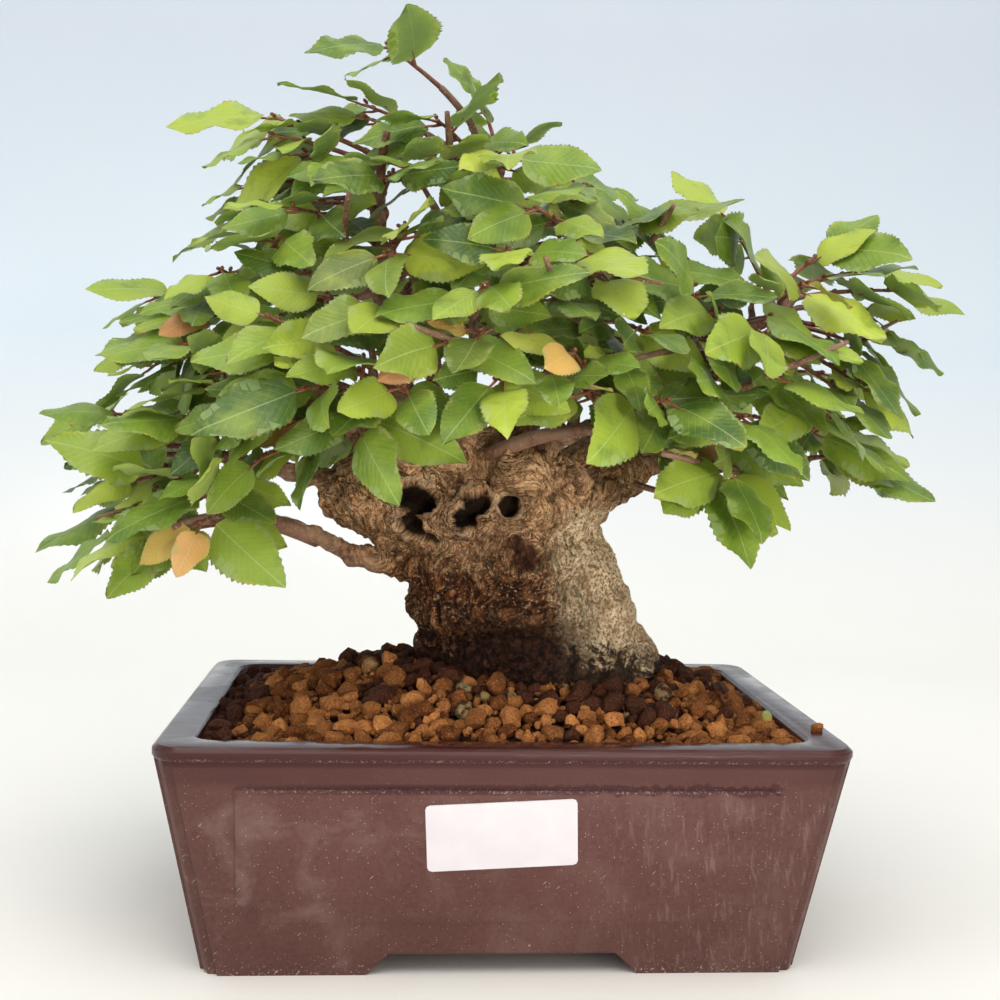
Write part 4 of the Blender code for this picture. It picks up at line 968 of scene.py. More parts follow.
def plan_leaves(sprays, wood, shoots):
    """Sets leaves by rank, the end leaves of all shoots first, each clear of what is in place."""
    draw = random.Random(SPRAY_SEED + 1)
    placed = []
    most = max(spray.leaf_count for spray in sprays)
    for rank in range(most + 1):
        for number, spray in enumerate(sprays):
            if rank > spray.leaf_count:
                continue
            for attempt in range(LEAF_TRIES):
                leaf = propose_leaf(spray, rank, attempt, draw)
                trial = leaf_body(leaf, LEAF_CLEARANCE)
                if any(inside_burl(point, LEAF_BURL_ROOM) for point in leaf.points()):
                    continue
                if Body(leaf.points(), BLADE_FACES).meets(shoots[number]):
                    continue
                web = web_body(spray, rank, leaf)
                if any(trial.meets(other) or web.meets(other) for other in placed):
                    continue
                if any(trial.meets(other) for other in wood):
                    continue
                if any(trial.meets(other) for near, other in enumerate(shoots) if near != number):
                    continue
                spray.leaves[rank] = leaf
                placed += [leaf_body(leaf), web]
                break

# %% [markdown]
# The plain solids carry as many leaves as they may. The living tree has twice as many, so more
# shoots grow here between the ones in place. A new shoot takes the middle between two neighbours,
# so the outline of the crown stays as it is, and it sits a little deeper in.
# %% More shoots and leaves between
FILL_SEED = 21
FILL_TRIES = 430
FILL_NEIGHBOURS = 6
FILL_DEPTH = 5 * MM
FILL_FARTHEST = 52 * MM
FILL_CLEARANCE = 0.25 * MM


class Crown:
    """All sprays and the bodies of what is in place, in the order in which they were set."""

    def __init__(self):
        self.sprays, self.wood, self.shoots = plan_sprays()
        plan_leaves(self.sprays, self.wood, self.shoots)
        self.placed = [leaf_body(leaf) for spray in self.sprays for leaf in spray.leaves.values()]
        self.paths = limb_paths()
        self.extra = {spray.name: [] for spray in self.sprays}

    def free(self, body, skip=None):
        if any(body.meets(other) for other in self.wood + self.placed):
            return False
        return not any(body.meets(other) for other in self.shoots if other is not skip)

    def inside_box(self, points):
        low, high = CAD_BOX
        return all(low[axis] < point[axis] < high[axis] for point in points for axis in range(3))

    def try_leaf(self, spray, rank, draw, skip):
        for attempt in range(LEAF_TRIES):
            leaf = propose_leaf(spray, rank, attempt, draw)
            if any(inside_burl(point, 1.5 * MM) for point in leaf.points()):
                continue
            if not self.inside_box(leaf.points()):
                continue
            if self.free(leaf_body(leaf, FILL_CLEARANCE), skip):
                self.placed.append(leaf_body(leaf))
                return leaf
        return None

    def grow_between(self, first, second, share, draw):
        """A shoot halfway between two others, with its leaves, if there is room for it."""
        ends = [spray.spine()[-1] for spray in (first, second)]
        tip = ends[0].lerp(ends[1], share)
        inward = (CROWN_CENTRE - tip).normalized()
        tip += inward * draw.uniform(-0.3, 1.6) * FILL_DEPTH
        tip += Vector([draw.uniform(-3, 3) * MM for axis in range(3)])
        facing = (first.facing + second.facing) / 2
        spray = Spray(0, first.limb, tip, draw.choice((2, 3, 3)), facing)
        spray.aim(self.paths[first.limb], Vector())
        spine = spray.spine()
        shoot = bar_body(spine, [SHOOT_HALF + 0.2 * MM] * len(spine))
        if not self.free(shoot) or any(inside_burl(point, 2 * MM) for point in spine):
            return None
        self.shoots.append(shoot)
        for rank in range(spray.leaf_count + 1):
            leaf = self.try_leaf(spray, rank, draw, shoot)
            if leaf is not None:
                spray.leaves[rank] = leaf
        if len(spray.leaves) < 2:
            self.shoots.remove(shoot)
            return None
        self.extra[first.name].append(spray)
        return spray

    def fill(self):
        draw = random.Random(FILL_SEED)
        own = list(self.sprays)
        for turn in range(FILL_TRIES):
            first = own[turn % len(own)]
            near = sorted(own, key=lambda other: (other.target - first.target).length)
            near = [other for other in near[1:FILL_NEIGHBOURS + 1]
                    if (other.target - first.target).length < FILL_FARTHEST]
            if near:
                self.grow_between(first, draw.choice(near), draw.uniform(0.3, 0.7), draw)


crown = Crown()
planned = sum(len(spray.leaves) for spray in crown.sprays)
crown.fill()
added = [spray for group in crown.extra.values() for spray in group]
print(planned, "leaves as planned,", sum(len(spray.leaves) for spray in added), "more on", len(added), "shoots")

# %% [markdown]
# Burl and limbs grew as one piece, so they are made as one: the ellipsoids and the limb tubes are
# melted together by a fine voxel remesh, which rounds every crotch the way wood does. Knees on a
# limb are a little thicker than the limb, because a shoot was cut there once. The right flank of
# the trunk is one long tapering log.
# %% Melting burl and limbs together
WOOD_VOXEL = 0.78 * MM
WOOD_SMOOTHING = 3
KNEE_SWELL = 1.22
LUMPS = [
    ((41, -17, 74), 3.6), ((32, -24, 74), 3.2), ((22, -29, 75), 3.0), ((-19, -8, 80), 4.5),
    ((-33, -12, 112), 5.0), ((29, -13, 124), 5.5), ((-44, -10, 126), 4.5), ((20, -25, 127), 4.5),
    ((-30, -20, 131), 4.5), ((2, -29, 131), 3.5), ((28, 20, 84), 6.0), ((-16, 20, 84), 5.0),
    ((4, 27, 98), 5.5), ((-30, 18, 112), 5.0), ((30, 12, 118), 5.0),
]
FLANK = [((30, -6, 66), 18), ((24, -6, 90), 15.5), ((17, -5, 112), 13.5), ((11, -4, 126), 12)]


def made_mesh(thing):
    """The mesh of an object as its modifiers or its bevel leave it, after which the object goes."""
    bpy.context.view_layer.update()
    graph = bpy.context.evaluated_depsgraph_get()
    mesh = bpy.data.meshes.new_from_object(thing.evaluated_get(graph))
    bpy.data.objects.remove(thing, do_unlink=True)
    return mesh


def curved_tube(path, rounding):
    """A tapering tube along a smooth curve that the points pull towards them."""
    curve = bpy.data.curves.new("tube", "CURVE")
    curve.dimensions = "3D"
    curve.bevel_depth = 1.0
    curve.bevel_resolution = rounding
    curve.use_fill_caps = True
    curve.resolution_u = 5
    spline = curve.splines.new("NURBS")
    spline.points.add(len(path) - 1)
    for point, (place, radius) in zip(spline.points, path):
        point.co = (*place, 1)
        point.radius = radius
    spline.order_u = 3
    spline.use_endpoint_u = True
    thing = bpy.data.objects.new("tube", curve)
    bpy.context.scene.collection.objects.link(thing)
    return made_mesh(thing)


def add_ball(bm, centre, radii, detail):
    fit = Matrix.Translation(centre) @ Matrix.Diagonal((*radii, 1))
    bmesh.ops.create_icosphere(bm, subdivisions=detail, radius=1.0, matrix=fit)


def melted_wood():
    bm = bmesh.new()
    for centre, radii in BURL:
        add_ball(bm, Vector(centre) * MM, Vector(radii) * MM, 4)
    for centre, radius in LUMPS:
        add_ball(bm, Vector(centre) * MM, Vector((radius, radius, radius)) * MM, 3)
    bm.from_mesh(curved_tube([(Vector(place) * MM, radius * MM) for place, radius in FLANK], 6))
    for path in limb_paths().values():
        bm.from_mesh(curved_tube(path, 3))
        for place, radius in path[1:-1]:
            swell = radius * KNEE_SWELL
            add_ball(bm, place, (swell, swell, swell), 3)
    wood = bpy.data.objects.new("wood", mesh_of(bm, "wood"))
    bpy.context.scene.collection.objects.link(wood)
    remesh = wood.modifiers.new("Remesh", "REMESH")
    remesh.mode = "VOXEL"
    remesh.voxel_size = WOOD_VOXEL
    smooth = wood.modifiers.new("Smooth", "SMOOTH")
    smooth.factor = 0.5
    smooth.iterations = WOOD_SMOOTHING
    return made_mesh(wood)


# %% [markdown]
# Hornbeam bark on an old burl is a cord of fibres that parts round every knot and closes behind it,
# like water round a stone. So the place of a point among the fibres is worked out as in a stream
# round a cylinder, and a ridged noise drawn long in that place gives strands with dark cracks
# between them. Rings run round the hollows. The same numbers go into the mesh as attributes,
# where the finish reads them, so colour and relief agree.
# %% Bark relief
STREAM_BEND = 9 * MM
STREAM_BEND_SIZE = 12 * MM
STRAND_WIDTH = 2.1 * MM
STRAND_STRETCH = 0.30
STRAND_DEPTH = 1.45
FLAKE_SIZE = 2.2 * MM
FLAKE_DEPTH = 1.0
LIMB_DEPTH = 0.30
FARTHEST_RING = 3.2
HOLLOW_UNEVEN = 0.32
SMALL_KNOTS = [((3.5, -31, 110.5), 2.6, 3), ((33, -12, 122), 3.2, 3), ((-34, -24, 128), 3.4, 5)]
HEALED = [(Vector(place) * MM, radius * MM, 0) for place, radius in LUMPS[4:]]
HEALED_DEPTH = 4
melted = melted_wood()
melted_tree = BVHTree.FromPolygons([vert.co for vert in melted.vertices],
                                   [face.vertices[:] for face in melted.polygons])
KNOTS = [(melted_tree.find_nearest(Vector(place) * MM)[0], radius * MM, depth)
         for place, radius, depth in HOLLOWS + SMALL_KNOTS]


def ease(value, low, high):
    share = max(0.0, min(1.0, (value - low) / (high - low)))
    return share * share * (3 - 2 * share)


def among_fibres(point):
    bent = point + noise.noise_vector(point / STREAM_BEND_SIZE) * STREAM_BEND
    for centre, radius, depth in KNOTS + HEALED:
        away = point - centre
        parting = min(1.0, (1.25 * radius) ** 2 / away.length_squared)
        bent.x -= away.x * parting
        bent.y -= 0.5 * away.y * parting
    return Vector((bent.x, bent.y, bent.z * STRAND_STRETCH))


def burl_share(point):
    """How deep in the burl a point lies: 1 in its middle, 0 on its face, below 0 outside."""
    best = 99.0
    for centre, radii in BURL:
        share = sum(((point[axis] - centre[axis] * MM) / (radii[axis] * MM)) ** 2 for axis in range(3))
        best = min(best, share)
    return 1 - math.sqrt(best)


def bark_at(point):
    """The bark's height at a point in millimetres, and what its finish needs to know there."""
    burl = ease(burl_share(point), -0.42, -0.10)
    fibres = among_fibres(point)
    wide = abs(noise.noise(fibres / STRAND_WIDTH))
    narrow = abs(noise.noise(fibres / (0.45 * STRAND_WIDTH) + Vector((7, 3, 1))))
    strand = min(1.0, 2.0 * wide) ** 0.6
    strand = 0.65 * strand + 0.35 * min(1.0, 2.2 * narrow) ** 0.7
    flake = noise.noise(point / FLAKE_SIZE)
    smooth_flank = ease(point.x / MM, 4, 28) * ease(point.z / MM, 128, 112) * ease(point.y / MM, 34, 20)
    depth = STRAND_DEPTH * (1 - 0.6 * smooth_flank)
    gnarl = noise.noise(point / (11 * MM)) * 1.6 + noise.noise(point / (5 * MM)) * 0.9
    height = burl * (gnarl + depth * (strand - 0.5) + (1 - 0.5 * smooth_flank) * FLAKE_DEPTH * flake)
    height += (1 - burl) * LIMB_DEPTH * (2 * noise.noise(point / (3 * MM)) + flake)
    hollow = healed = 0.0
    ring = lip = FARTHEST_RING
    for centre, radius, depth_here in KNOTS:
        away = (point - centre).length / radius
        away += HOLLOW_UNEVEN * noise.noise(point / (2.6 * MM) + centre)
        ring = min(ring, away)
        opening = max(0.0, 1 - away ** 3)
        height -= depth_here * opening
        if depth_here > HEALED_DEPTH:
            hollow = max(hollow, opening)
            lip = min(lip, away)
        else:
            healed = max(healed, opening)
        if 1.0 <= away < 1.7:
            height += 0.8 * (1.7 - away)
    facts = {"strand": strand, "burl": burl, "hollow": hollow, "healed": healed, "ring": ring, "lip": lip,
             "smooth_flank": smooth_flank}
    return height, facts, fibres


def carved_wood(mesh):
    bm = bmesh.new()
    bm.from_mesh(mesh)
    bm.normal_update()
    names = ("strand", "burl", "hollow", "healed", "ring", "lip", "smooth_flank")
    layers = {name: bm.verts.layers.float.new(name) for name in names}
    along = bm.verts.layers.float_vector.new("fibre_place")
    moves = []
    for vert in bm.verts:
        height, facts, fibres = bark_at(vert.co)
        for name, value in facts.items():
            vert[layers[name]] = value
        vert[along] = fibres
        moves.append(vert.normal * height * MM)
    for vert, move in zip(bm.verts, moves):
        vert.co += move
    return mesh_of(bm, "trunk_wood")


# %% [markdown]
# The ridges are pale beige and the cracks brown to black: partly the bark's own colour, partly
# painted light on the ridges and painted shade in the cracks. Fine dark lines follow the fibres and
# ring the knots. Each deep hollow is painted near black inside as shade, with a painted highlight on
# its lip. The upper burl is painted paler, partly smoother bark and partly painted light where the
# crown shades it. Low on the left the bark is stained red brown. Where it meets the soil it is
# painted nearly black, partly damp bark and partly painted shade. The right flank is smooth, cream
# and flecked, with a thin dark streak of algae. The limbs are grey brown with small pale pores.
# %% The bark finish


def region(recipe, spot, centre, radii):
    """A soft mask that is 1 in the middle of an ellipsoid and 0 outside it, in millimetres."""
    shares = [1 / radius for radius in radii]
    inputs = {"Vector": spot, "Location": [-place * share for place, share in zip(centre, shares)],
              "Scale": shares}
    scaled = recipe.node("Mapping", inputs)
    reach = recipe.node("VectorMath", {0: scaled}, "Value", operation="LENGTH")
    return recipe.ramp(reach, 1.15, 0.45)


def lines(recipe, value, width, middle=0.5):
    """Thin lines where a noise passes its middle value."""
    away = recipe.maths("ABSOLUTE", recipe.maths("SUBTRACT", value, middle))
    return recipe.ramp(away, width, 0.3 * width)


def knot_rings(recipe, spot):
    """Growth rings round the knots, uneven and fading outwards."""
    ring = recipe.attribute("ring")
    uneven = recipe.noise(spot, 3.0, 3, 0.6, output="Fac")
    place = recipe.maths("ADD", ring, recipe.ramp(uneven, 0.2, 0.8, -0.22, 0.22))
    wave = recipe.maths("SINE", recipe.maths("MULTIPLY", place, 26.0))
    return recipe.both(recipe.ramp(wave, 0.15, 0.85), recipe.ramp(ring, 0.95, 1.1), recipe.ramp(ring, 2.5, 1.4))


def clouds_mix(recipe, spot):
    """Where the fibres are broken up into crumbs, in patches."""
    return recipe.noise(spot, 13, 2, 0.5)


def bark_finish():
    recipe = Recipe("hornbeam_bark", Specular_IOR_Level=0.12)
    spot = recipe.millimetres()
    fibres = recipe.node("Mapping", {"Vector": recipe.attribute("fibre_place", "Vector"),
                                     "Scale": (1000, 1000, 1000)})
    strand = recipe.attribute("strand")
    burl = recipe.attribute("burl")
    hollow = recipe.attribute("hollow")
    healed = recipe.attribute("healed")
    flank = recipe.attribute("smooth_flank")
    hair = recipe.noise(fibres, 0.42, 4, 0.65)
    thread = recipe.noise(fibres, 1.2, 3, 0.6, 0.5)
    swirl = recipe.noise(fibres, 1.7, 5, 0.68, 0.5)
    grit = recipe.noise(spot, 1.5, 5, 0.68, 0.5)
    mottle = recipe.node("Mix", {0: recipe.ramp(clouds_mix(recipe, spot), 0.40, 0.60, 0.15, 0.75), 2: swirl, 3: grit}, 0)
    flecks = recipe.noise(spot, 0.9, 4, 0.65)
    clouds = recipe.noise(spot, 9, 3, 0.55)

    # Partly painted light: the upper burl, which the crown shades, is blended to a paler smooth bark, partly its own
    # smoother skin.
    above = recipe.ramp(recipe.maths("ADD", recipe.axis(spot, "Z"), recipe.ramp(clouds, 0.3, 0.7, -7.0, 7.0)),
                        98, 112)
    # Partly painted shade and light: the strand that carves the grooves also paints them dark and the ridges paler,
    # over the bark's own darker cracks.
    crack = recipe.ramp(strand, 0.42, 0.84)
    wood = recipe.blend(crack, (0.045, 0.014, 0.005), (0.440, 0.205, 0.080))
    wood = recipe.blend(recipe.ramp(mottle, 0.52, 0.62, 0.0, 0.85), wood, (0.780, 0.500, 0.250))
    wood = recipe.blend(recipe.ramp(mottle, 0.50, 0.38, 0.0, 0.9), wood, (0.090, 0.029, 0.010))
    smooth = recipe.blend(recipe.ramp(swirl, 0.36, 0.58), (0.330, 0.135, 0.048), (0.900, 0.570, 0.300))
    wood = recipe.blend(recipe.ramp(above, 0, 1, 0.0, 0.70), wood, smooth)
    wood = recipe.blend(recipe.ramp(hair, 0.42, 0.30, 0.0, 0.75), wood, (0.070, 0.027, 0.011))
    dark_lines = recipe.maths("MAXIMUM", lines(recipe, thread, 0.030), knot_rings(recipe, spot))
    wood = recipe.blend(recipe.ramp(dark_lines, 0, 1, 0.0, 0.85), wood, (0.034, 0.013, 0.006))
    wood = recipe.blend(recipe.ramp(clouds, 0.52, 0.66, 0.0, 0.5), wood, (0.130, 0.056, 0.022))
    patches = recipe.noise(spot, 6, 4, 0.65)
    wood = recipe.blend(recipe.ramp(patches, 0.54, 0.62, 0.0, 0.7), wood, (0.055, 0.018, 0.008))
    cream = recipe.blend(recipe.ramp(flecks, 0.42, 0.54), (0.330, 0.165, 0.065), (0.860, 0.710, 0.470))
    cream = recipe.blend(recipe.ramp(patches, 0.50, 0.60, 0.0, 0.6), cream, (0.380, 0.230, 0.110))
    cream = recipe.blend(recipe.ramp(grit, 0.40, 0.32, 0.0, 0.8), cream, (0.140, 0.075, 0.035))
    side = recipe.maths("ADD", flank, recipe.ramp(grit, 0.3, 0.7, -0.35, 0.35))
    wood = recipe.blend(recipe.ramp(side, 0.30, 0.55, 0.0, 0.95), wood, cream)

    stain = region(recipe, spot, (-6, -24, 92), (32, 26, 22))
    stain = recipe.both(stain, recipe.ramp(recipe.noise(spot, 4, 4, 0.62), 0.38, 0.52))
    stained = recipe.blend(recipe.both(crack, recipe.ramp(mottle, 0.35, 0.62)), (0.020, 0.006, 0.003),
                           (0.280, 0.078, 0.020))
    wood = recipe.blend(recipe.ramp(stain, 0, 1, 0.0, 0.90), wood, stained)
    wood = recipe.blend(recipe.ramp(flecks, 0.58, 0.64, 0.0, 0.6), wood, (0.720, 0.480, 0.250))
    algae_lines = recipe.noise(recipe.millimetres((0.9, 0.9, 0.10), (0, 0.25, 0)), 2.2, 3, 0.5, 0.4)
    algae = recipe.both(recipe.ramp(algae_lines, 0.56, 0.62), region(recipe, spot, (24, -26, 106), (13, 16, 20)))
    moss = recipe.both(recipe.ramp(recipe.noise(spot, 3, 4, 0.7), 0.56, 0.64),
                       region(recipe, spot, (16, -20, 100), (30, 30, 34)))
    green = recipe.maths("MAXIMUM", algae, recipe.ramp(moss, 0, 1, 0.0, 0.6))
    wood = recipe.blend(recipe.ramp(green, 0, 1, 0.0, 0.8), wood, (0.060, 0.066, 0.026))

    # Partly painted shade: where the bark meets the soil, round the root and on a low knob it is painted nearly black,
    # partly damp bark.
    rise = recipe.maths("ADD", recipe.axis(spot, "Z"), recipe.ramp(clouds, 0.3, 0.7, -6.0, 6.0))
    rise = recipe.maths("ADD", rise, recipe.ramp(mottle, 0.3, 0.7, -7.0, 7.0))
    right_drop = recipe.ramp(recipe.axis(spot, "X"), 18, 34, 0.0, 4.0)
    rise = recipe.maths("ADD", rise, right_drop)
    shaded_damp_base = recipe.ramp(rise, 84, 80)
    root_dark = region(recipe, spot, (4, -26, 80), (26, 22, 14))
    knob_dark = recipe.both(region(recipe, spot, (46, -19, 74), (12, 14, 10)), recipe.ramp(grit, 0.40, 0.55))
    shaded_damp_base = recipe.maths("MAXIMUM", shaded_damp_base, recipe.maths("MAXIMUM", root_dark, knob_dark))
    damp_and_shade = recipe.blend(recipe.ramp(grit, 0.45, 0.62), (0.006, 0.002, 0.0012), (0.055, 0.018, 0.008))
    wood = recipe.blend(recipe.ramp(shaded_damp_base, 0, 1, 0.0, 0.96), wood, damp_and_shade)
    lip = recipe.attribute("lip")
    # Painted highlight: a pale ring on the lip of each deep hollow.
    lip_highlight = recipe.both(recipe.ramp(lip, 0.96, 1.06), recipe.ramp(lip, 1.30, 1.12), burl)
    lip_highlight = recipe.both(lip_highlight, recipe.ramp(clouds, 0.44, 0.60, 0.05, 0.6))
    wood = recipe.blend(lip_highlight, wood, (0.66, 0.50, 0.32))
    plugged = recipe.blend(recipe.ramp(thread, 0.4, 0.6), (0.020, 0.008, 0.006), (0.130, 0.045, 0.025))
    wood = recipe.blend(recipe.ramp(healed, 0.15, 0.5, 0.0, 0.95), wood, plugged)
    # Painted shade: the inside of each deep hollow is painted near black.
    wood = recipe.blend(recipe.ramp(hollow, 0.10, 0.42, 0.0, 0.97), wood, (0.007, 0.003, 0.002))

    skin_noise = recipe.noise(spot, 2.2, 4, 0.6)
    skin = recipe.blend(recipe.ramp(skin_noise, 0.35, 0.65), (0.150, 0.068, 0.036), (0.420, 0.245, 0.145))
    top_light = recipe.ramp(clouds, 0.45, 0.6, 0.0, 0.4)
    skin = recipe.blend(top_light, skin, (0.52, 0.35, 0.22))
    pores = recipe.cells(recipe.millimetres((1, 1, 1.6)), 1.7)
    skin = recipe.blend(recipe.ramp(pores, 0.20, 0.12, 0.0, 0.7), skin, (0.48, 0.38, 0.28))
    colour = recipe.blend(burl, skin, wood)

    rough = recipe.ramp(recipe.maths("MAXIMUM", recipe.ramp(shaded_damp_base, 0, 1, 0.0, 0.7), healed), 0, 1, 0.86, 0.42)
    relief = recipe.bump(recipe.both(hair, burl), 0.50)
    relief = recipe.bump(thread, 0.40, relief)
    relief = recipe.bump(mottle, 0.70, relief)
    relief = recipe.bump(recipe.maths("SUBTRACT", 1.0, dark_lines), 0.22, relief)
    return recipe.done(Base_Color=colour, Roughness=rough, Normal=relief)


bark = bark_finish()
trunk_wood = add_piece("trunk_wood", carved_wood(melted), [bark], ["trunk"])

# %% [markdown]
# Woody twigs carry the sprays. They are thinner than the voxels that melted the limbs, so they
# stay tubes of their own with their roots sunk into a limb, a little swollen at the foot. A few
# dead stubs stand out of the burl.
# %% Twigs and stubs
TWIG_ROUNDING = 1
TWIG_SWELL = 1.15
FOOT_SWELL = 1.2
SNAPPED_STUBS = [
    [((-39, -25, 130), 1.5), ((-34, -32, 127.5), 1.15), ((-29, -38, 125.5), 0.95)],
    [((-80, -23, 116), 1.3), ((-86, -26, 115.5), 1.1), ((-91, -28, 115), 1.0)],
    [((10, -20, 190), 0.9), ((20, -28, 176), 0.7), ((26, -31, 167), 0.6)],
    [((36, -26, 128), 1.0), ((46, -33, 124), 0.75), ((55, -36, 127), 0.6)],
    [((25, -30, 168), 1.2), ((16, -44, 174), 1.0), ((10, -56, 178), 0.85), ((6, -64, 185), 0.7)],
    [((2, -40, 186), 0.8), ((11, -55, 184), 0.7), ((23, -62, 182), 0.6), ((35, -66, 179), 0.45)],
    [((-2, -40, 161), 1.3), ((-10, -58, 163), 1.1), ((-20, -66, 165), 0.95), ((-28, -72, 167), 0.7)],
    [((50, -34, 148), 1.4), ((62, -46, 155), 1.1), ((74, -52, 161), 0.9), ((87, -52, 167), 0.6)],
    [((53, -30, 166), 1.1), ((40, -48, 164), 0.9), ((27, -60, 160), 0.6)],
    [((-10, -10, 131), 3.0), ((2, -34, 139), 2.3), ((18, -47, 143), 1.6), ((34, -52, 143), 1.0)],
    [((-52, -12, 110), 2.6), ((-66, -28, 117), 2.0), ((-77, -38, 118), 1.6), ((-88, -42, 115), 1.4)],
    [((-95, -20, 119), 0.8), ((-103, -28, 119), 0.6), ((-110, -30, 116), 0.55)],
    [((40, -20, 195), 0.9), ((43, -30, 202), 0.8), ((44, -32, 204), 0.6)],
    [((-36, -8, 206), 1.7), ((-36, -22, 215), 1.3), ((-34, -26, 222), 1.0)],
    [((-42, -20, 182), 1.2), ((-46, -40, 191), 1.0), ((-43, -52, 201), 0.6)],
    [((-15, -10, 208), 1.4), ((-17, -24, 220), 1.1), ((-18, -30, 227), 0.7)],
    [((70, -22, 131), 1.5), ((54, -44, 134), 1.1), ((39, -50, 137), 0.9)],
    [((100, -8, 166), 1.0), ((106, -20, 173), 0.7), ((110, -24, 175), 0.5)],
]


def twig_points(spray):
    points = [(place, radius * TWIG_SWELL) for place, radius in zip(spray.twig, spray.twig_radii)]
    foot, radius = points[0]
    return [(foot, radius * FOOT_SWELL)] + points[1:]


def twigs_mesh():
    bm = bmesh.new()
    for spray in crown.sprays + added:
        bm.from_mesh(curved_tube(twig_points(spray), TWIG_ROUNDING))
    for stub in SNAPPED_STUBS:
        bm.from_mesh(curved_tube([(Vector(place) * MM, radius * MM) for place, radius in stub], 2))
    bmesh.ops.remove_doubles(bm, verts=bm.verts, dist=0.002 * MM)
    bmesh.ops.recalc_face_normals(bm, faces=bm.faces)
    return mesh_of(bm, "woody_twigs")


def twig_finish():
    recipe = Recipe("red_brown_twig_bark")
    spot = recipe.millimetres()
    mottle = recipe.noise(spot, 1.6, 4, 0.6)
    slow = recipe.noise(spot, 14, 2)
    skin = recipe.blend(recipe.ramp(mottle, 0.35, 0.65), (0.090, 0.030, 0.014), (0.270, 0.130, 0.068))
    skin = recipe.blend(recipe.ramp(slow, 0.42, 0.62, 0.0, 0.6), skin, (0.36, 0.22, 0.14))
    pores = recipe.cells(spot, 1.3)
    skin = recipe.blend(recipe.ramp(pores, 0.22, 0.14, 0.0, 0.65), skin, (0.46, 0.36, 0.28))
    relief = recipe.bump(pores, 0.06, recipe.bump(mottle, 0.16))
    rough = recipe.ramp(mottle, 0.3, 0.7, 0.50, 0.72)
    return recipe.done(Base_Color=skin, Roughness=rough, Normal=relief)


woody_twigs = add_piece("woody_twigs", twigs_mesh(), [twig_finish()], ["trunk"])

# %% [markdown]
# A leaf blade starts as a grid: four columns across, and a row for every two teeth on a side. The
# rim keeps a point for each tooth and each notch, while the rows between are dissolved inside the
# blade, so a few dozen faces carry sixteen forward-leaning teeth a side. A reversed copy makes
# the underside, and the two are merged along the rim. The flat place of every corner is kept as a
# map, so that the veins can be drawn in the finish.
# %% The leaf pattern
LEAF_ROWS = 8
RIM_STEPS = 4
TOOTH_OUT = 0.085
SMALL_TOOTH = 0.6
NOTCH_IN = 0.03
TOOTH_LEAN = 0.75
WIDEST = 0.35
BASE_POWER = 0.46
SHEET = 0.001


def blade_width(share):
    """The half width of the blade, 1 at its widest: round at the base, drawn out to a point."""
    if not 0 < share < 1:
        return 0.0
    tip_power = BASE_POWER * (1 - WIDEST) / WIDEST
    return (share / WIDEST) ** BASE_POWER * ((1 - share) / (1 - WIDEST)) ** tip_power


def flat_blade(bm):
    """One sheet of faces, toothed along its rim, and the place of its verts among the rows."""
    steps = LEAF_ROWS * RIM_STEPS
    bmesh.ops.create_grid(bm, x_segments=4, y_segments=steps, size=1.0)
    row = {vert: round((vert.co.y + 1) / 2 * steps) for vert in bm.verts}
    between = [edge for edge in bm.edges if row[edge.verts[0]] == row[edge.verts[1]] and row[edge.verts[0]] % RIM_STEPS]
    bmesh.ops.dissolve_edges(bm, edges=between, use_verts=False)
    inner = [vert for vert in bm.verts if abs(vert.co.x) < 0.9 and row[vert] % RIM_STEPS]
    bmesh.ops.dissolve_verts(bm, verts=inner)
    for vert in bm.verts:
        step = row[vert]
        share = step / steps
        width = blade_width(share)
        on_rim = abs(vert.co.x) > 0.9
        if on_rim and step % 2:
            width *= 1 + TOOTH_OUT * (1.0 if step % 4 == 1 else SMALL_TOOTH)
            share += TOOTH_LEAN / steps * (1 - share)
        elif on_rim:
            width *= 1 - NOTCH_IN
        vert.co = (vert.co.x * width, share, 0)
    for share in (0, 1):
        end = [vert for vert in bm.verts if abs(vert.co.y - share) < 0.001]
        bmesh.ops.pointmerge(bm, verts=end, merge_co=(0, share, 0))


def leaf_pattern():
    """A flat closed leaf in its own frame: x across, y along the midrib from 0 to 1, z up."""
    bm = bmesh.new()
    leaf_map = bm.loops.layers.uv.new("blade_map")
    under = bm.faces.layers.float.new("underside")
    rim = bm.verts.layers.float.new("rim")
    flat_blade(bm)
    edge_verts = {vert for edge in bm.edges if edge.is_boundary for vert in edge.verts}
    for vert in bm.verts:
        vert[rim] = 1.0 if vert in edge_verts else 0.5 * (abs(vert.co.x) > 0.01)
    for face in bm.faces:
        for loop in face.loops:
            loop[leaf_map].uv = ((loop.vert.co.x + 1) / 2, loop.vert.co.y)
    copied = bmesh.ops.duplicate(bm, geom=list(bm.verts) + list(bm.edges) + list(bm.faces))["geom"]
    lower = [item for item in copied if isinstance(item, bmesh.types.BMFace)]
    sunk = {item for item in copied if isinstance(item, bmesh.types.BMVert)}
    bmesh.ops.reverse_faces(bm, faces=lower)
    for face in lower:
        face[under] = 1.0
    for vert in bm.verts:
        if vert[rim] < 1.0:
            vert.co.z = -SHEET if vert in sunk else SHEET
    bmesh.ops.remove_doubles(bm, verts=[vert for vert in bm.verts if vert[rim] == 1.0], dist=0.00001)
    return bm


PATTERN = mesh_of(leaf_pattern(), "leaf_pattern", smooth=False)
print("leaf pattern of", len(PATTERN.polygons), "faces")

# %% [markdown]
# Each leaf is bent by its own frame: it droops, folds along the midrib, cups a little, twists and
# waves along its rim. It is thin at the rim and thicker at the midrib. A tone and an age for each
# leaf go into the mesh, where the finish reads them.
# %% Bending a leaf into place
LEAF_SEED = 33
BLADE_THICKNESS = 0.30 * MM
CUP = 0.16
WAVE = 0.035
TWIST = 0.28
YOUNG_SHARE = 0.22


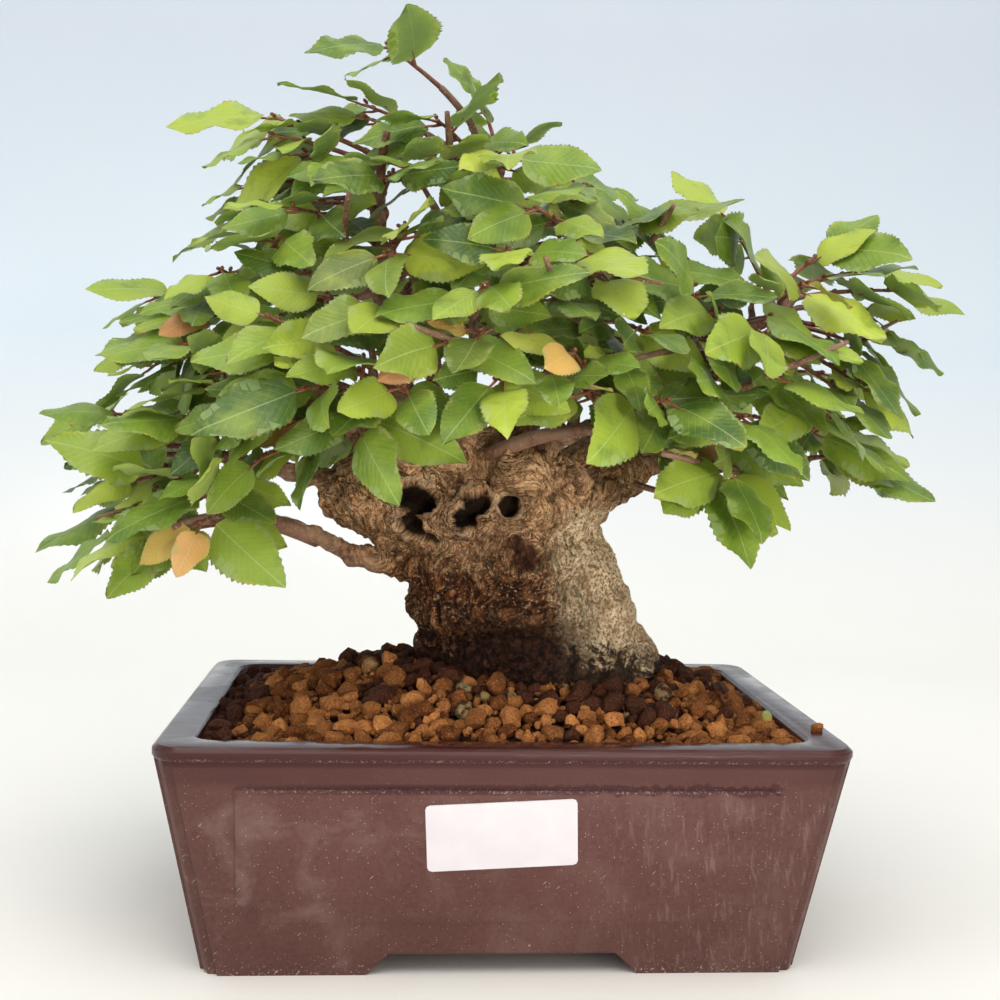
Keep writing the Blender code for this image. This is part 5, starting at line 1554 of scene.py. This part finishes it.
def newest(bm, before):
    bm.verts.ensure_lookup_table()
    return bm.verts[before:]


def keep_in_box(verts):
    """Moves a blade back that reaches a hair's breadth out of the solids' box."""
    for axis in range(3):
        places = [vert.co[axis] for vert in verts]
        back = max(CAD_BOX[0][axis] - min(places), 0) + min(CAD_BOX[1][axis] - max(places), 0)
        for vert in verts:
            vert.co[axis] += back


def bend_leaf(bm, leaf, layers, draw, tone, age):
    """Adds a copy of the leaf pattern, shaped and placed by the leaf's frame."""
    before = len(bm.verts)
    bm.from_mesh(PATTERN)
    half = 0.5 * LEAF_ASPECT * leaf.length
    waves = draw.uniform(1.2, 2.4)
    phases = (draw.uniform(0, 6.3), draw.uniform(0, 6.3))
    twist = draw.uniform(-TWIST, TWIST)
    cup = CUP * draw.uniform(-0.4, 1.6)
    sweep = draw.uniform(-0.10, 0.10)
    blade = newest(bm, before)
    for vert in blade:
        across, share, sheet = vert.co
        outer = vert[layers["rim"]]
        ripple = WAVE * math.sin(6.3 * waves * share + phases[across > 0]) * outer ** 1.5
        lift = BLADE_THICKNESS * (1 - outer) * sheet / SHEET / 2
        lift += leaf.length * (ripple - cup * across * across * 0.5 * LEAF_ASPECT)
        lift += across * half * twist * share
        bow = sweep * leaf.length * share * (1 - share)
        vert.co = leaf.spot(share, across * half + bow, lift)
        vert[layers["tone"]] = tone
        vert[layers["age"]] = age
        vert[layers["stalk"]] = 0.0
    keep_in_box(blade)


# %% [markdown]
# Shoots and leaf stalks are slender tubes: a ring of six points that is drawn along its way, turned
# square to it at every stop, and closed at both ends. In every leaf's corner sits next year's bud.
# %% Shoots, stalks and buds
STALK_SIDES = 6
BUD_LENGTH = 2.3
BUD_RADIUS = 0.62


def square_to(way, step):
    before = way[max(step - 1, 0)]
    after = way[min(step + 1, len(way) - 1)]
    return (after - before).normalized().to_track_quat("Z", "Y").to_matrix().to_4x4()


def draw_tube(bm, way, radii, sides=STALK_SIDES):
    """A closed tube along the points of a way: a disc drawn on, with its walls behind it."""
    place = Matrix.Translation(way[0]) @ square_to(way, 0)
    made = list(bmesh.ops.create_circle(bm, cap_ends=True, segments=sides, radius=radii[0], matrix=place)["verts"])
    end = made[0].link_faces[0]
    for step in range(1, len(way)):
        before = place
        place = Matrix.Translation(way[step]) @ square_to(way, step)
        grow = Matrix.Scale(radii[step] / radii[step - 1], 4)
        drawn = bmesh.ops.extrude_face_region(bm, geom=[end] + list(end.edges))["geom"]
        end = next(item for item in drawn if isinstance(item, bmesh.types.BMFace))
        verts = [item for item in drawn if isinstance(item, bmesh.types.BMVert)]
        bmesh.ops.transform(bm, matrix=place @ grow @ before.inverted(), verts=verts)
        made += verts
    return made


def mark_stalk(verts, layers, tone):
    for vert in verts:
        vert[layers["stalk"]] = 1.0
        vert[layers["tone"]] = tone


def add_stalk(bm, leaf, layers, draw):
    """The leaf's stalk, from inside the shoot to a little way under the midrib."""
    middle = leaf.root.lerp(leaf.spot(0, 0), 0.55) - leaf.up * 0.25 * MM
    way = [leaf.root - leaf.along * 0.4 * MM, middle, leaf.spot(0, 0, -0.1 * MM),
           leaf.spot(0.14, 0, -0.20 * MM)]
    verts = draw_tube(bm, way, [0.50 * MM, 0.40 * MM, 0.34 * MM, 0.16 * MM])
    mark_stalk(verts, layers, draw.uniform(0.2, 1.0))
    bud = Matrix.Translation(leaf.root + leaf.up * 0.5 * MM) @ leaf.along.lerp(leaf.up, 0.35).normalized(
        ).to_track_quat("Z", "Y").to_matrix().to_4x4()
    shape = Matrix.Diagonal((BUD_RADIUS * MM, BUD_RADIUS * MM, BUD_LENGTH / 2 * MM, 1))
    forward = Matrix.Translation((0, 0, BUD_LENGTH / 2 * MM))
    ball = bmesh.ops.create_icosphere(bm, subdivisions=1, radius=1.0, matrix=bud @ forward @ shape)["verts"]
    mark_stalk(ball, layers, draw.uniform(0.0, 0.4))


# %% [markdown]
# Hornbeam leaves run from deep green to yellow green, with a soft bluish shine above and a paler
# underside. Ten or so pairs of side veins run slanting to the teeth, no more than a shade paler
# than the blade, which is pleated a little between them. Young leaves are yellow to orange, old
# ones turn yellow and brown along the rim. Light shines through a blade, which a little
# scattering under its surface gives.
# %% Leaf and stalk finishes
VEIN_PAIRS = 11.0
VEIN_RISE = 0.62


def leaf_finish():
    recipe = Recipe("hornbeam_leaf", Subsurface_Weight=0.18, Subsurface_Scale=0.0010,
                    Subsurface_Radius=(0.7, 1.0, 0.15), Specular_IOR_Level=0.40)
    spot = recipe.millimetres()
    map_place = recipe.node("UVMap", {}, 0, uv_map="blade_map")
    across = recipe.maths("ABSOLUTE", recipe.maths("SUBTRACT", recipe.axis(map_place, "X"), 0.5))
    along = recipe.axis(map_place, "Y")
    tone = recipe.attribute("tone")
    age = recipe.attribute("age")
    rim = recipe.attribute("rim")
    under = recipe.attribute("underside")

    slanted = recipe.maths("SUBTRACT", along, recipe.maths("MULTIPLY", across, VEIN_RISE))
    turn = recipe.maths("MULTIPLY", slanted, VEIN_PAIRS)
    saw = recipe.maths("ABSOLUTE", recipe.maths("SUBTRACT", recipe.maths("FRACT", turn), 0.5))
    vein = recipe.ramp(saw, 0.43, 0.485)
    midrib = recipe.ramp(across, 0.016, 0.006)
    pleat = recipe.ramp(saw, 0.0, 0.5)
    cloud = recipe.noise(spot, 9, 3, 0.55)
    speckle = recipe.noise(spot, 1.3, 4, 0.65)

    green = recipe.blend(recipe.ramp(tone, 0.0, 0.5), (0.040, 0.092, 0.011), (0.180, 0.285, 0.027))
    green = recipe.blend(recipe.ramp(tone, 0.5, 1.0), green, (0.480, 0.570, 0.062))
    green = recipe.blend(recipe.ramp(cloud, 0.44, 0.70, 0.0, 0.40), green, (0.380, 0.490, 0.056))
    green = recipe.blend(recipe.ramp(cloud, 0.44, 0.30, 0.0, 0.45), green, (0.060, 0.135, 0.020))
    fresh = recipe.blend(recipe.ramp(age, 0.60, 0.95), (0.560, 0.520, 0.070), (0.640, 0.270, 0.100))
    green = recipe.blend(recipe.ramp(age, 0.30, 0.60), green, fresh)
    green = recipe.blend(recipe.ramp(speckle, 0.50, 0.72, 0.0, 0.16), green, (0.420, 0.470, 0.140))
    green = recipe.blend(recipe.ramp(vein, 0, 1, 0.0, 0.17), green, (0.420, 0.500, 0.160))
    green = recipe.blend(recipe.ramp(midrib, 0, 1, 0.0, 0.50), green, (0.460, 0.520, 0.210))
    edge = recipe.both(recipe.ramp(rim, 0.84, 0.99), recipe.ramp(cloud, 0.46, 0.62))
    green = recipe.blend(recipe.ramp(edge, 0, 1, 0.0, 0.60), green, (0.500, 0.460, 0.060))
    far_out = recipe.maths("MAXIMUM", recipe.ramp(rim, 0.88, 1.0), recipe.ramp(along, 0.90, 0.99))
    scorch = recipe.both(recipe.ramp(recipe.noise(spot, 3.6, 4, 0.65), 0.60, 0.67), far_out)
    green = recipe.blend(recipe.ramp(scorch, 0, 1, 0.0, 0.8), green, (0.260, 0.100, 0.030))
    pale = recipe.blend(0.45, green, (0.330, 0.430, 0.190))
    green = recipe.blend(under, green, pale)

    rough = recipe.ramp(under, 0, 1, 0.40, 0.64)
    relief = recipe.bump(pleat, 0.05)
    relief = recipe.bump(recipe.maths("MAXIMUM", vein, midrib), -0.035, relief)
    relief = recipe.bump(speckle, 0.06, relief)
    return recipe.done(Base_Color=green, Roughness=rough, Normal=relief)


def stalk_finish():
    recipe = Recipe("red_leaf_stalk", Specular_IOR_Level=0.4)
    spot = recipe.millimetres()
    tone = recipe.attribute("tone")
    mottle = recipe.noise(spot, 1.2, 3, 0.6)
    red = recipe.blend(tone, (0.135, 0.030, 0.016), (0.400, 0.140, 0.062))
    red = recipe.blend(recipe.ramp(mottle, 0.45, 0.7, 0.0, 0.5), red, (0.42, 0.27, 0.15))
    rough = recipe.ramp(mottle, 0.3, 0.7, 0.45, 0.65)
    return recipe.done(Base_Color=red, Roughness=rough, Normal=recipe.bump(mottle, 0.05))


# %% [markdown]
# Every leafy spray is one piece: its own shoot, the shoots that grew between it and its neighbours,
# and all their leaves. It stands for one plain spray of the frame.
# %% The leafy sprays
LAYERS = ("tone", "age", "stalk", "rim")
LARGEST_YOUNG = 18 * MM
OLDER_AGE = 0.34
RIM_ANGLE = math.radians(75)


def leaf_tone(draw, leaf):
    """Darker in the shade of the crown's inside, lighter outside."""
    depth = (leaf.spot(0.5, 0) - CROWN_CENTRE).length / MM
    return max(0.0, min(1.0, draw.gauss(0.42, 0.26) + 0.004 * (depth - 75)))


def add_shoot(bm, spray, layers, draw):
    spine = spray.spine()
    start = spine[0] - spray.heading * 0.8 * MM
    way = [start] + spine[1:]
    last = len(way) - 1
    radii = [(0.80 + (0.42 - 0.80) * step / last) * MM for step in range(last + 1)]
    mark_stalk(draw_tube(bm, way, radii), layers, draw.uniform(0.0, 0.7))


def spray_mesh(spray, draw):
    bm = bmesh.new()
    layers = {name: bm.verts.layers.float.new(name) for name in LAYERS}
    bm.loops.layers.uv.new("blade_map")
    bm.faces.layers.float.new("underside")
    for shoot in [spray] + crown.extra[spray.name]:
        young_shoot = draw.random() < YOUNG_SHARE
        add_shoot(bm, shoot, layers, draw)
        for rank, leaf in shoot.leaves.items():
            young = young_shoot and rank < 2
            age = draw.uniform(0.40, 1.0) if young else draw.uniform(0.0, 0.30)
            if leaf.length > LARGEST_YOUNG:
                age = min(age, OLDER_AGE)
            bend_leaf(bm, leaf, layers, draw, leaf_tone(draw, leaf), age)
            add_stalk(bm, leaf, layers, draw)
    for face in bm.faces:
        face.material_index = int(face.verts[0][layers["stalk"]] > 0.5)
    bmesh.ops.recalc_face_normals(bm, faces=bm.faces)
    mesh = mesh_of(bm, spray.name)
    mesh.set_sharp_from_angle(angle=RIM_ANGLE)
    return mesh


def add_sprays():
    draw = random.Random(LEAF_SEED)
    finishes = [leaf_finish(), stalk_finish()]
    total = 0
    for spray in crown.sprays:
        piece = add_piece(spray.name.replace("spray", "leafy_spray"), spray_mesh(spray, draw), finishes,
                          [spray.name])
        total += len(piece.data.polygons)
    print(total, "faces in", len(crown.sprays), "leafy sprays")


add_sprays()

# %% [markdown]
# The soil is fired clay in grains of two to six millimetres, heaped up to the trunk. Under them
# lies a bed that fills the pot, painted dark as the shade between the grains. The grains are thrown
# down one after another, the big ones first, wherever the heap still has room. Each is a ball that
# is broken off by a few random planes, made lumpy and turned at random, which is what such crushed
# clay looks like.
# %% The heap's height
POT_LENGTH = 180 * MM
POT_DEPTH = 130 * MM
POT_HEIGHT = 62 * MM
LEDGE_WIDTH = 10 * MM
CAVITY_TAPER = 8.5 * MM
CAVITY_CORNER = 6 * MM
FLOOR_TOP = 12 * MM
SOIL_EDGE_HEIGHT = 59.5 * MM
SOIL_MOUND = 17.5 * MM


def cavity_half(height):
    """Half sizes of the planting cavity at this height."""
    share = (POT_HEIGHT - height) / (POT_HEIGHT - FLOOR_TOP)
    half_x = POT_LENGTH / 2 - LEDGE_WIDTH - CAVITY_TAPER * share
    half_y = POT_DEPTH / 2 - LEDGE_WIDTH - CAVITY_TAPER * share
    return half_x, half_y


def mound_height(x, y):
    """The soil's height before its grains: highest round the trunk, level with the rim outside."""
    half_x, half_y = cavity_half(SOIL_EDGE_HEIGHT)
    centre = 12 * MM
    reach = math.hypot((x - centre) / (half_x + math.copysign(centre, centre - x)), y / half_y)
    return SOIL_EDGE_HEIGHT + SOIL_MOUND * (1 - min(reach, 1.0) ** 2)


# %% [markdown]
# The bed is a closed, lumpy slab, painted near black as shade because it shows only in the gaps.
# Grains of four sizes lie on it. At the left edge they are painted nearly black as shade, in patches
# round the trunk they are damp and nearly black, and a few near the trunk are crusted with pale algae.
# %% The soil bed and its grains
GRAIN_SEED = 8
BED_DEPTH = 2.6 * MM
GRAIN_CLASSES = [(90, 2.7, 3.5), (300, 1.9, 2.7), (800, 1.2, 1.9), (1500, 0.6, 1.2)]
GRAIN_FACETS = 7
GRAIN_ROOM = 0.74
RIM_GRAIN = ((85.4, -41.0, 63.0), 1.9)
BED_COLUMNS = 64
BED_ROWS = 42
wood_tree = BVHTree.FromObject(trunk_wood, bpy.context.evaluated_depsgraph_get())


def soil_bed_mesh():
    """A lumpy top under the grains, with walls drawn down to the pot's floor and closed there."""
    half_x, half_y = (half - GAP for half in cavity_half(SOIL_EDGE_HEIGHT))
    bm = bmesh.new()
    bmesh.ops.create_grid(bm, x_segments=BED_COLUMNS, y_segments=BED_ROWS, size=1.0)
    for vert in bm.verts:
        x, y = vert.co.x * half_x, vert.co.y * half_y
        inner_x, inner_y = half_x - CAVITY_CORNER, half_y - CAVITY_CORNER
        out_x, out_y = max(abs(x) - inner_x, 0), max(abs(y) - inner_y, 0)
        if math.hypot(out_x, out_y) > CAVITY_CORNER:
            pull = CAVITY_CORNER / math.hypot(out_x, out_y)
            x = math.copysign(inner_x + out_x * pull, x)
            y = math.copysign(inner_y + out_y * pull, y)
        lumps = noise.noise(Vector((x, y, 0)) / (2.5 * MM)) * 0.9 * MM
        vert.co = (x, y, mound_height(x, y) - BED_DEPTH + lumps)
    rim = [edge for edge in bm.edges if edge.is_boundary]
    floor_x, floor_y = cavity_half(FLOOR_TOP + GAP)
    grown = bmesh.ops.extrude_edge_only(bm, edges=rim)["geom"]
    for item in grown:
        if isinstance(item, bmesh.types.BMVert):
            item.co.x *= (floor_x - GAP) / half_x
            item.co.y *= (floor_y - GAP) / half_y
            item.co.z = FLOOR_TOP + 6 * GAP
    bmesh.ops.contextual_create(bm, geom=[edge for edge in bm.edges if edge.is_boundary])
    bmesh.ops.recalc_face_normals(bm, faces=bm.faces)
    mesh = mesh_of(bm, "soil_bed")
    mesh.set_sharp_from_angle(angle=math.radians(50))
    return mesh


def scattered_grains():
    """Places and radii of the grains, big ones first, no two closer than they can lie."""
    draw = random.Random(GRAIN_SEED)
    half_x, half_y = cavity_half(SOIL_EDGE_HEIGHT)
    cell = 7 * MM
    near = {}
    grains = []
    for layer, (count, smallest, largest) in enumerate(GRAIN_CLASSES):
        for attempt in range(count * 5):
            radius = draw.uniform(smallest, largest) * MM
            x = draw.uniform(-1, 1) * (half_x - 0.75 * radius)
            y = draw.uniform(-1, 1) * (half_y - 0.75 * radius)
            rise = draw.uniform(-0.3, 0.5) * MM + (0.35 * radius if layer == 0 else 0.2 * MM * layer)
            place = Vector((x, y, mound_height(x, y) - 0.5 * MM + rise))
            key = (int(x // cell), int(y // cell))
            around = [other for dx in (-1, 0, 1) for dy in (-1, 0, 1)
                      for other in near.get((key[0] + dx, key[1] + dy), ())]
            if any((place - spot).length < GRAIN_ROOM * (radius + wide) for spot, wide in around):
                continue
            hit = wood_tree.find_nearest(place)
            if hit[0] is not None and (hit[3] < 0.5 * radius or (place - hit[0]).dot(hit[1]) < 0):
                continue
            near.setdefault(key, []).append((place, radius))
            grains.append((place, radius))
    return grains


def add_grain(bm, place, radius, draw, layers):
    """A ball that is broken off by a few random planes, with lumps, in a random turn."""
    planes = []
    for facet in range(GRAIN_FACETS):
        facing = Vector([draw.gauss(0, 1) for axis in range(3)]).normalized()
        planes.append((facing, draw.uniform(0.55, 0.92)))
    turn = Matrix.Rotation(draw.uniform(0, 6.3), 3, Vector([draw.gauss(0, 1) for axis in range(3)]))
    size = Vector((draw.uniform(1.0, 1.25), draw.uniform(0.9, 1.05), draw.uniform(0.75, 0.95))) * radius
    detail = 2 if radius > 0.85 * MM else 1
    salt = Vector([draw.uniform(0, 90) for axis in range(3)])
    tone = max(0.0, min(1.0, draw.gauss(0.38, 0.36)))
    away = wood_tree.find_nearest(place)[3]
    by_trunk = away < 9 * MM
    # Grains at the pot's left edge are painted nearly black as shade; those in patches round the trunk are damp.
    at_left = place.x < -68 * MM + 9 * MM * noise.noise(place / (8 * MM))
    damp_patch = away < 22 * MM and noise.noise(place / (9 * MM) + Vector((0, 0, 5))) > 0.12
    dark = 1.0 if at_left or damp_patch or (by_trunk and draw.random() < 0.42) else 0.0
    moss = 1.0 if away < 16 * MM and draw.random() < 0.06 else 0.0
    for vert in bmesh.ops.create_icosphere(bm, subdivisions=detail, radius=1.0)["verts"]:
        ray = vert.co.normalized()
        reach = 1.05
        for facing, distance in planes:
            along = ray.dot(facing)
            if along > 0.05:
                reach = min(reach, distance / along)
        lump = 1.08 + 0.20 * noise.noise(ray * 1.6 + salt) + 0.09 * noise.noise(ray * 4.0 + salt)
        vert.co = place + turn @ Vector([ray[axis] * size[axis] for axis in range(3)]) * reach * lump
        vert[layers["tone"]] = tone
        vert[layers["dark"]] = dark
        vert[layers["moss"]] = moss


def grains_mesh():
    draw = random.Random(GRAIN_SEED + 1)
    bm = bmesh.new()
    layers = {name: bm.verts.layers.float.new(name) for name in ("tone", "dark", "moss")}
    grains = scattered_grains()
    for place, radius in grains:
        add_grain(bm, place, radius, draw, layers)
    add_grain(bm, Vector(RIM_GRAIN[0]) * MM, RIM_GRAIN[1] * MM, draw, layers)
    print(len(grains), "grains")
    mesh = mesh_of(bm, "soil_grains")
    mesh.set_sharp_from_angle(angle=math.radians(24))
    return mesh


def clay_finish():
    recipe = Recipe("fired_clay_grain", Specular_IOR_Level=0.12)
    spot = recipe.millimetres()
    tone = recipe.attribute("tone")
    dark = recipe.attribute("dark")
    moss = recipe.attribute("moss")
    pits = recipe.noise(spot, 0.55, 4, 0.7)
    cloud = recipe.noise(spot, 2.4, 3, 0.6)
    clay = recipe.blend(tone, (0.100, 0.028, 0.007), (0.680, 0.275, 0.080))
    clay = recipe.blend(recipe.ramp(cloud, 0.42, 0.66, 0.0, 0.65), clay, (0.290, 0.086, 0.019))
    clay = recipe.blend(recipe.ramp(pits, 0.48, 0.34, 0.0, 0.8), clay, (0.075, 0.026, 0.010))
    clay = recipe.blend(recipe.ramp(pits, 0.56, 0.70, 0.0, 0.6), clay, (0.680, 0.370, 0.150))
    # Painted shade and damp: one near black colour for the shaded grains at the left edge and the damp ones round the
    # trunk.
    damp_and_shade = recipe.blend(recipe.ramp(pits, 0.35, 0.65), (0.018, 0.0055, 0.003), (0.120, 0.040, 0.018))
    clay = recipe.blend(dark, clay, damp_and_shade)
    mossy = recipe.both(moss, recipe.ramp(cloud, 0.42, 0.52))
    clay = recipe.blend(recipe.ramp(mossy, 0, 1, 0.0, 0.75), clay, (0.360, 0.270, 0.120))
    rough = recipe.ramp(dark, 0, 1, 0.95, 0.72)
    relief = recipe.bump(cloud, 0.55)
    relief = recipe.bump(pits, 0.55, relief)
    return recipe.done(Base_Color=clay, Roughness=rough, Normal=relief)


def bed_finish():
    # The bed is painted near black as the shade between the grains.
    recipe = Recipe("wet_soil_crumbs", Specular_IOR_Level=0.25)
    spot = recipe.millimetres()
    crumbs = recipe.cells(spot, 1.3)
    cloud = recipe.noise(spot, 2.0, 4, 0.6)
    soil = recipe.blend(recipe.ramp(cloud, 0.35, 0.65), (0.018, 0.008, 0.005), (0.085, 0.034, 0.016))
    relief = recipe.bump(cloud, 0.6, recipe.bump(crumbs, 0.5))
    rough = recipe.ramp(cloud, 0.3, 0.7, 0.62, 0.9)
    return recipe.done(Base_Color=soil, Roughness=rough, Normal=relief)


soil_bed = add_piece("soil_bed", soil_bed_mesh(), [bed_finish()], ["soil"])
soil_grains = add_piece("soil_grains", grains_mesh(), [clay_finish()], ["soil"])

# %% [markdown]
# Fine dead roots lie in the soil at the foot of the trunk, a red twig has fallen near the right
# end, and beside it lies one pellet of slow fertiliser, half green and half orange. A single dark
# grain has rolled onto the pot's rim. The roots are drawn as short curling tubes that start and
# end in the soil.
# %% What lies on the soil
LITTER_SEED = 12
ROOT_NESTS = [
    ((-17, -36), 9, 9), ((-9, -22), 8, 8), ((40, -27), 9, 10), ((47, -32), 8, 9), ((16, -31), 8, 5),
    ((28, -36), 7, 5),
]
ROOT_RADII = (0.16, 0.42)
FALLEN_TWIG = [((65.6, -24, 62.5), 0.50), ((64.0, -22, 66.5), 0.42), ((62.0, -20, 69.5), 0.40),
               ((60.6, -18, 72.5), 0.30)]
PELLET = ((74.3, -30.5, 62.6), (1.75, 1.6, 2.9))


def add_root(bm, start, heading, length, radius, draw):
    """A thin root that lies on the heap, with both its ends pushed into it."""
    points = []
    steps = 6
    place = start.copy()
    for step in range(steps + 1):
        hump = math.sin(math.pi * step / steps)
        height = mound_height(place.x, place.y) + (1.9 * hump - 0.9) * MM
        points.append((Vector((place.x, place.y, height)), radius * (1 - 0.5 * step / steps)))
        heading += draw.gauss(0, 0.55)
        place += Vector((math.cos(heading), math.sin(heading), 0)) * length / steps
    bm.from_mesh(curved_tube(points, 1))


def roots_mesh():
    draw = random.Random(LITTER_SEED)
    bm = bmesh.new()
    for (x, y), count, spread in ROOT_NESTS:
        for number in range(count):
            start = Vector((x + draw.gauss(0, 0.4 * spread), y + draw.gauss(0, 0.25 * spread), 0)) * MM
            length = draw.uniform(5, 13) * MM
            add_root(bm, start, draw.uniform(0, 6.3), length, draw.uniform(*ROOT_RADII) * MM, draw)
    bmesh.ops.remove_doubles(bm, verts=bm.verts, dist=0.002 * MM)
    bmesh.ops.recalc_face_normals(bm, faces=bm.faces)
    return mesh_of(bm, "dead_roots")


def root_finish():
    recipe = Recipe("dead_root_skin", Specular_IOR_Level=0.1, Roughness=0.7)
    spot = recipe.millimetres()
    mottle = recipe.noise(spot, 1.2, 4, 0.65)
    slow = recipe.noise(spot, 7, 2)
    skin = recipe.blend(recipe.ramp(mottle, 0.35, 0.65), (0.018, 0.006, 0.003), (0.130, 0.034, 0.014))
    skin = recipe.blend(recipe.ramp(slow, 0.55, 0.65, 0.0, 0.7), skin, (0.220, 0.110, 0.070))
    return recipe.done(Base_Color=skin, Normal=recipe.bump(mottle, 0.12))


def litter_mesh():
    bm = bmesh.new()
    bm.from_mesh(curved_tube([(Vector(place) * MM, radius * MM) for place, radius in FALLEN_TWIG], 2))
    bmesh.ops.remove_doubles(bm, verts=bm.verts, dist=0.002 * MM)
    bmesh.ops.recalc_face_normals(bm, faces=bm.faces)
    return mesh_of(bm, "fallen_twig")


def pellet_mesh():
    bm = bmesh.new()
    centre, radii = PELLET
    add_ball(bm, Vector(centre) * MM, Vector(radii) * MM, 3)
    for vert in bm.verts:
        vert.co += vert.normal * noise.noise(vert.co / (1.6 * MM)) * 0.35 * MM
    return mesh_of(bm, "fertiliser_pellet")


def pellet_finish():
    recipe = Recipe("fertiliser_pellet_skin", Roughness=0.6)
    spot = recipe.millimetres()
    mottle = recipe.noise(spot, 1.4, 4, 0.6)
    rise = recipe.maths("ADD", recipe.axis(spot, "Z"), recipe.ramp(mottle, 0.3, 0.7, -0.8, 0.8))
    skin = recipe.blend(recipe.ramp(rise, 62.4, 63.8), (0.520, 0.210, 0.030), (0.300, 0.320, 0.070))
    skin = recipe.blend(recipe.ramp(mottle, 0.55, 0.7, 0.0, 0.6), skin, (0.620, 0.430, 0.160))
    return recipe.done(Base_Color=skin, Normal=recipe.bump(mottle, 0.25))


dead_roots = add_piece("dead_roots", roots_mesh(), [root_finish()], ["soil"])
fallen_twig = add_piece("fallen_twig", litter_mesh(), [root_finish()], ["soil"])
pellet = add_piece("fertiliser_pellet", pellet_mesh(), [pellet_finish()], ["soil"])

# %% [markdown]
# The pieces are in place. The box of the plain solids is printed. The dressed object may not
# outgrow the solids.
# %% The box of the solids
print("box of the solids ", CAD_BOX)
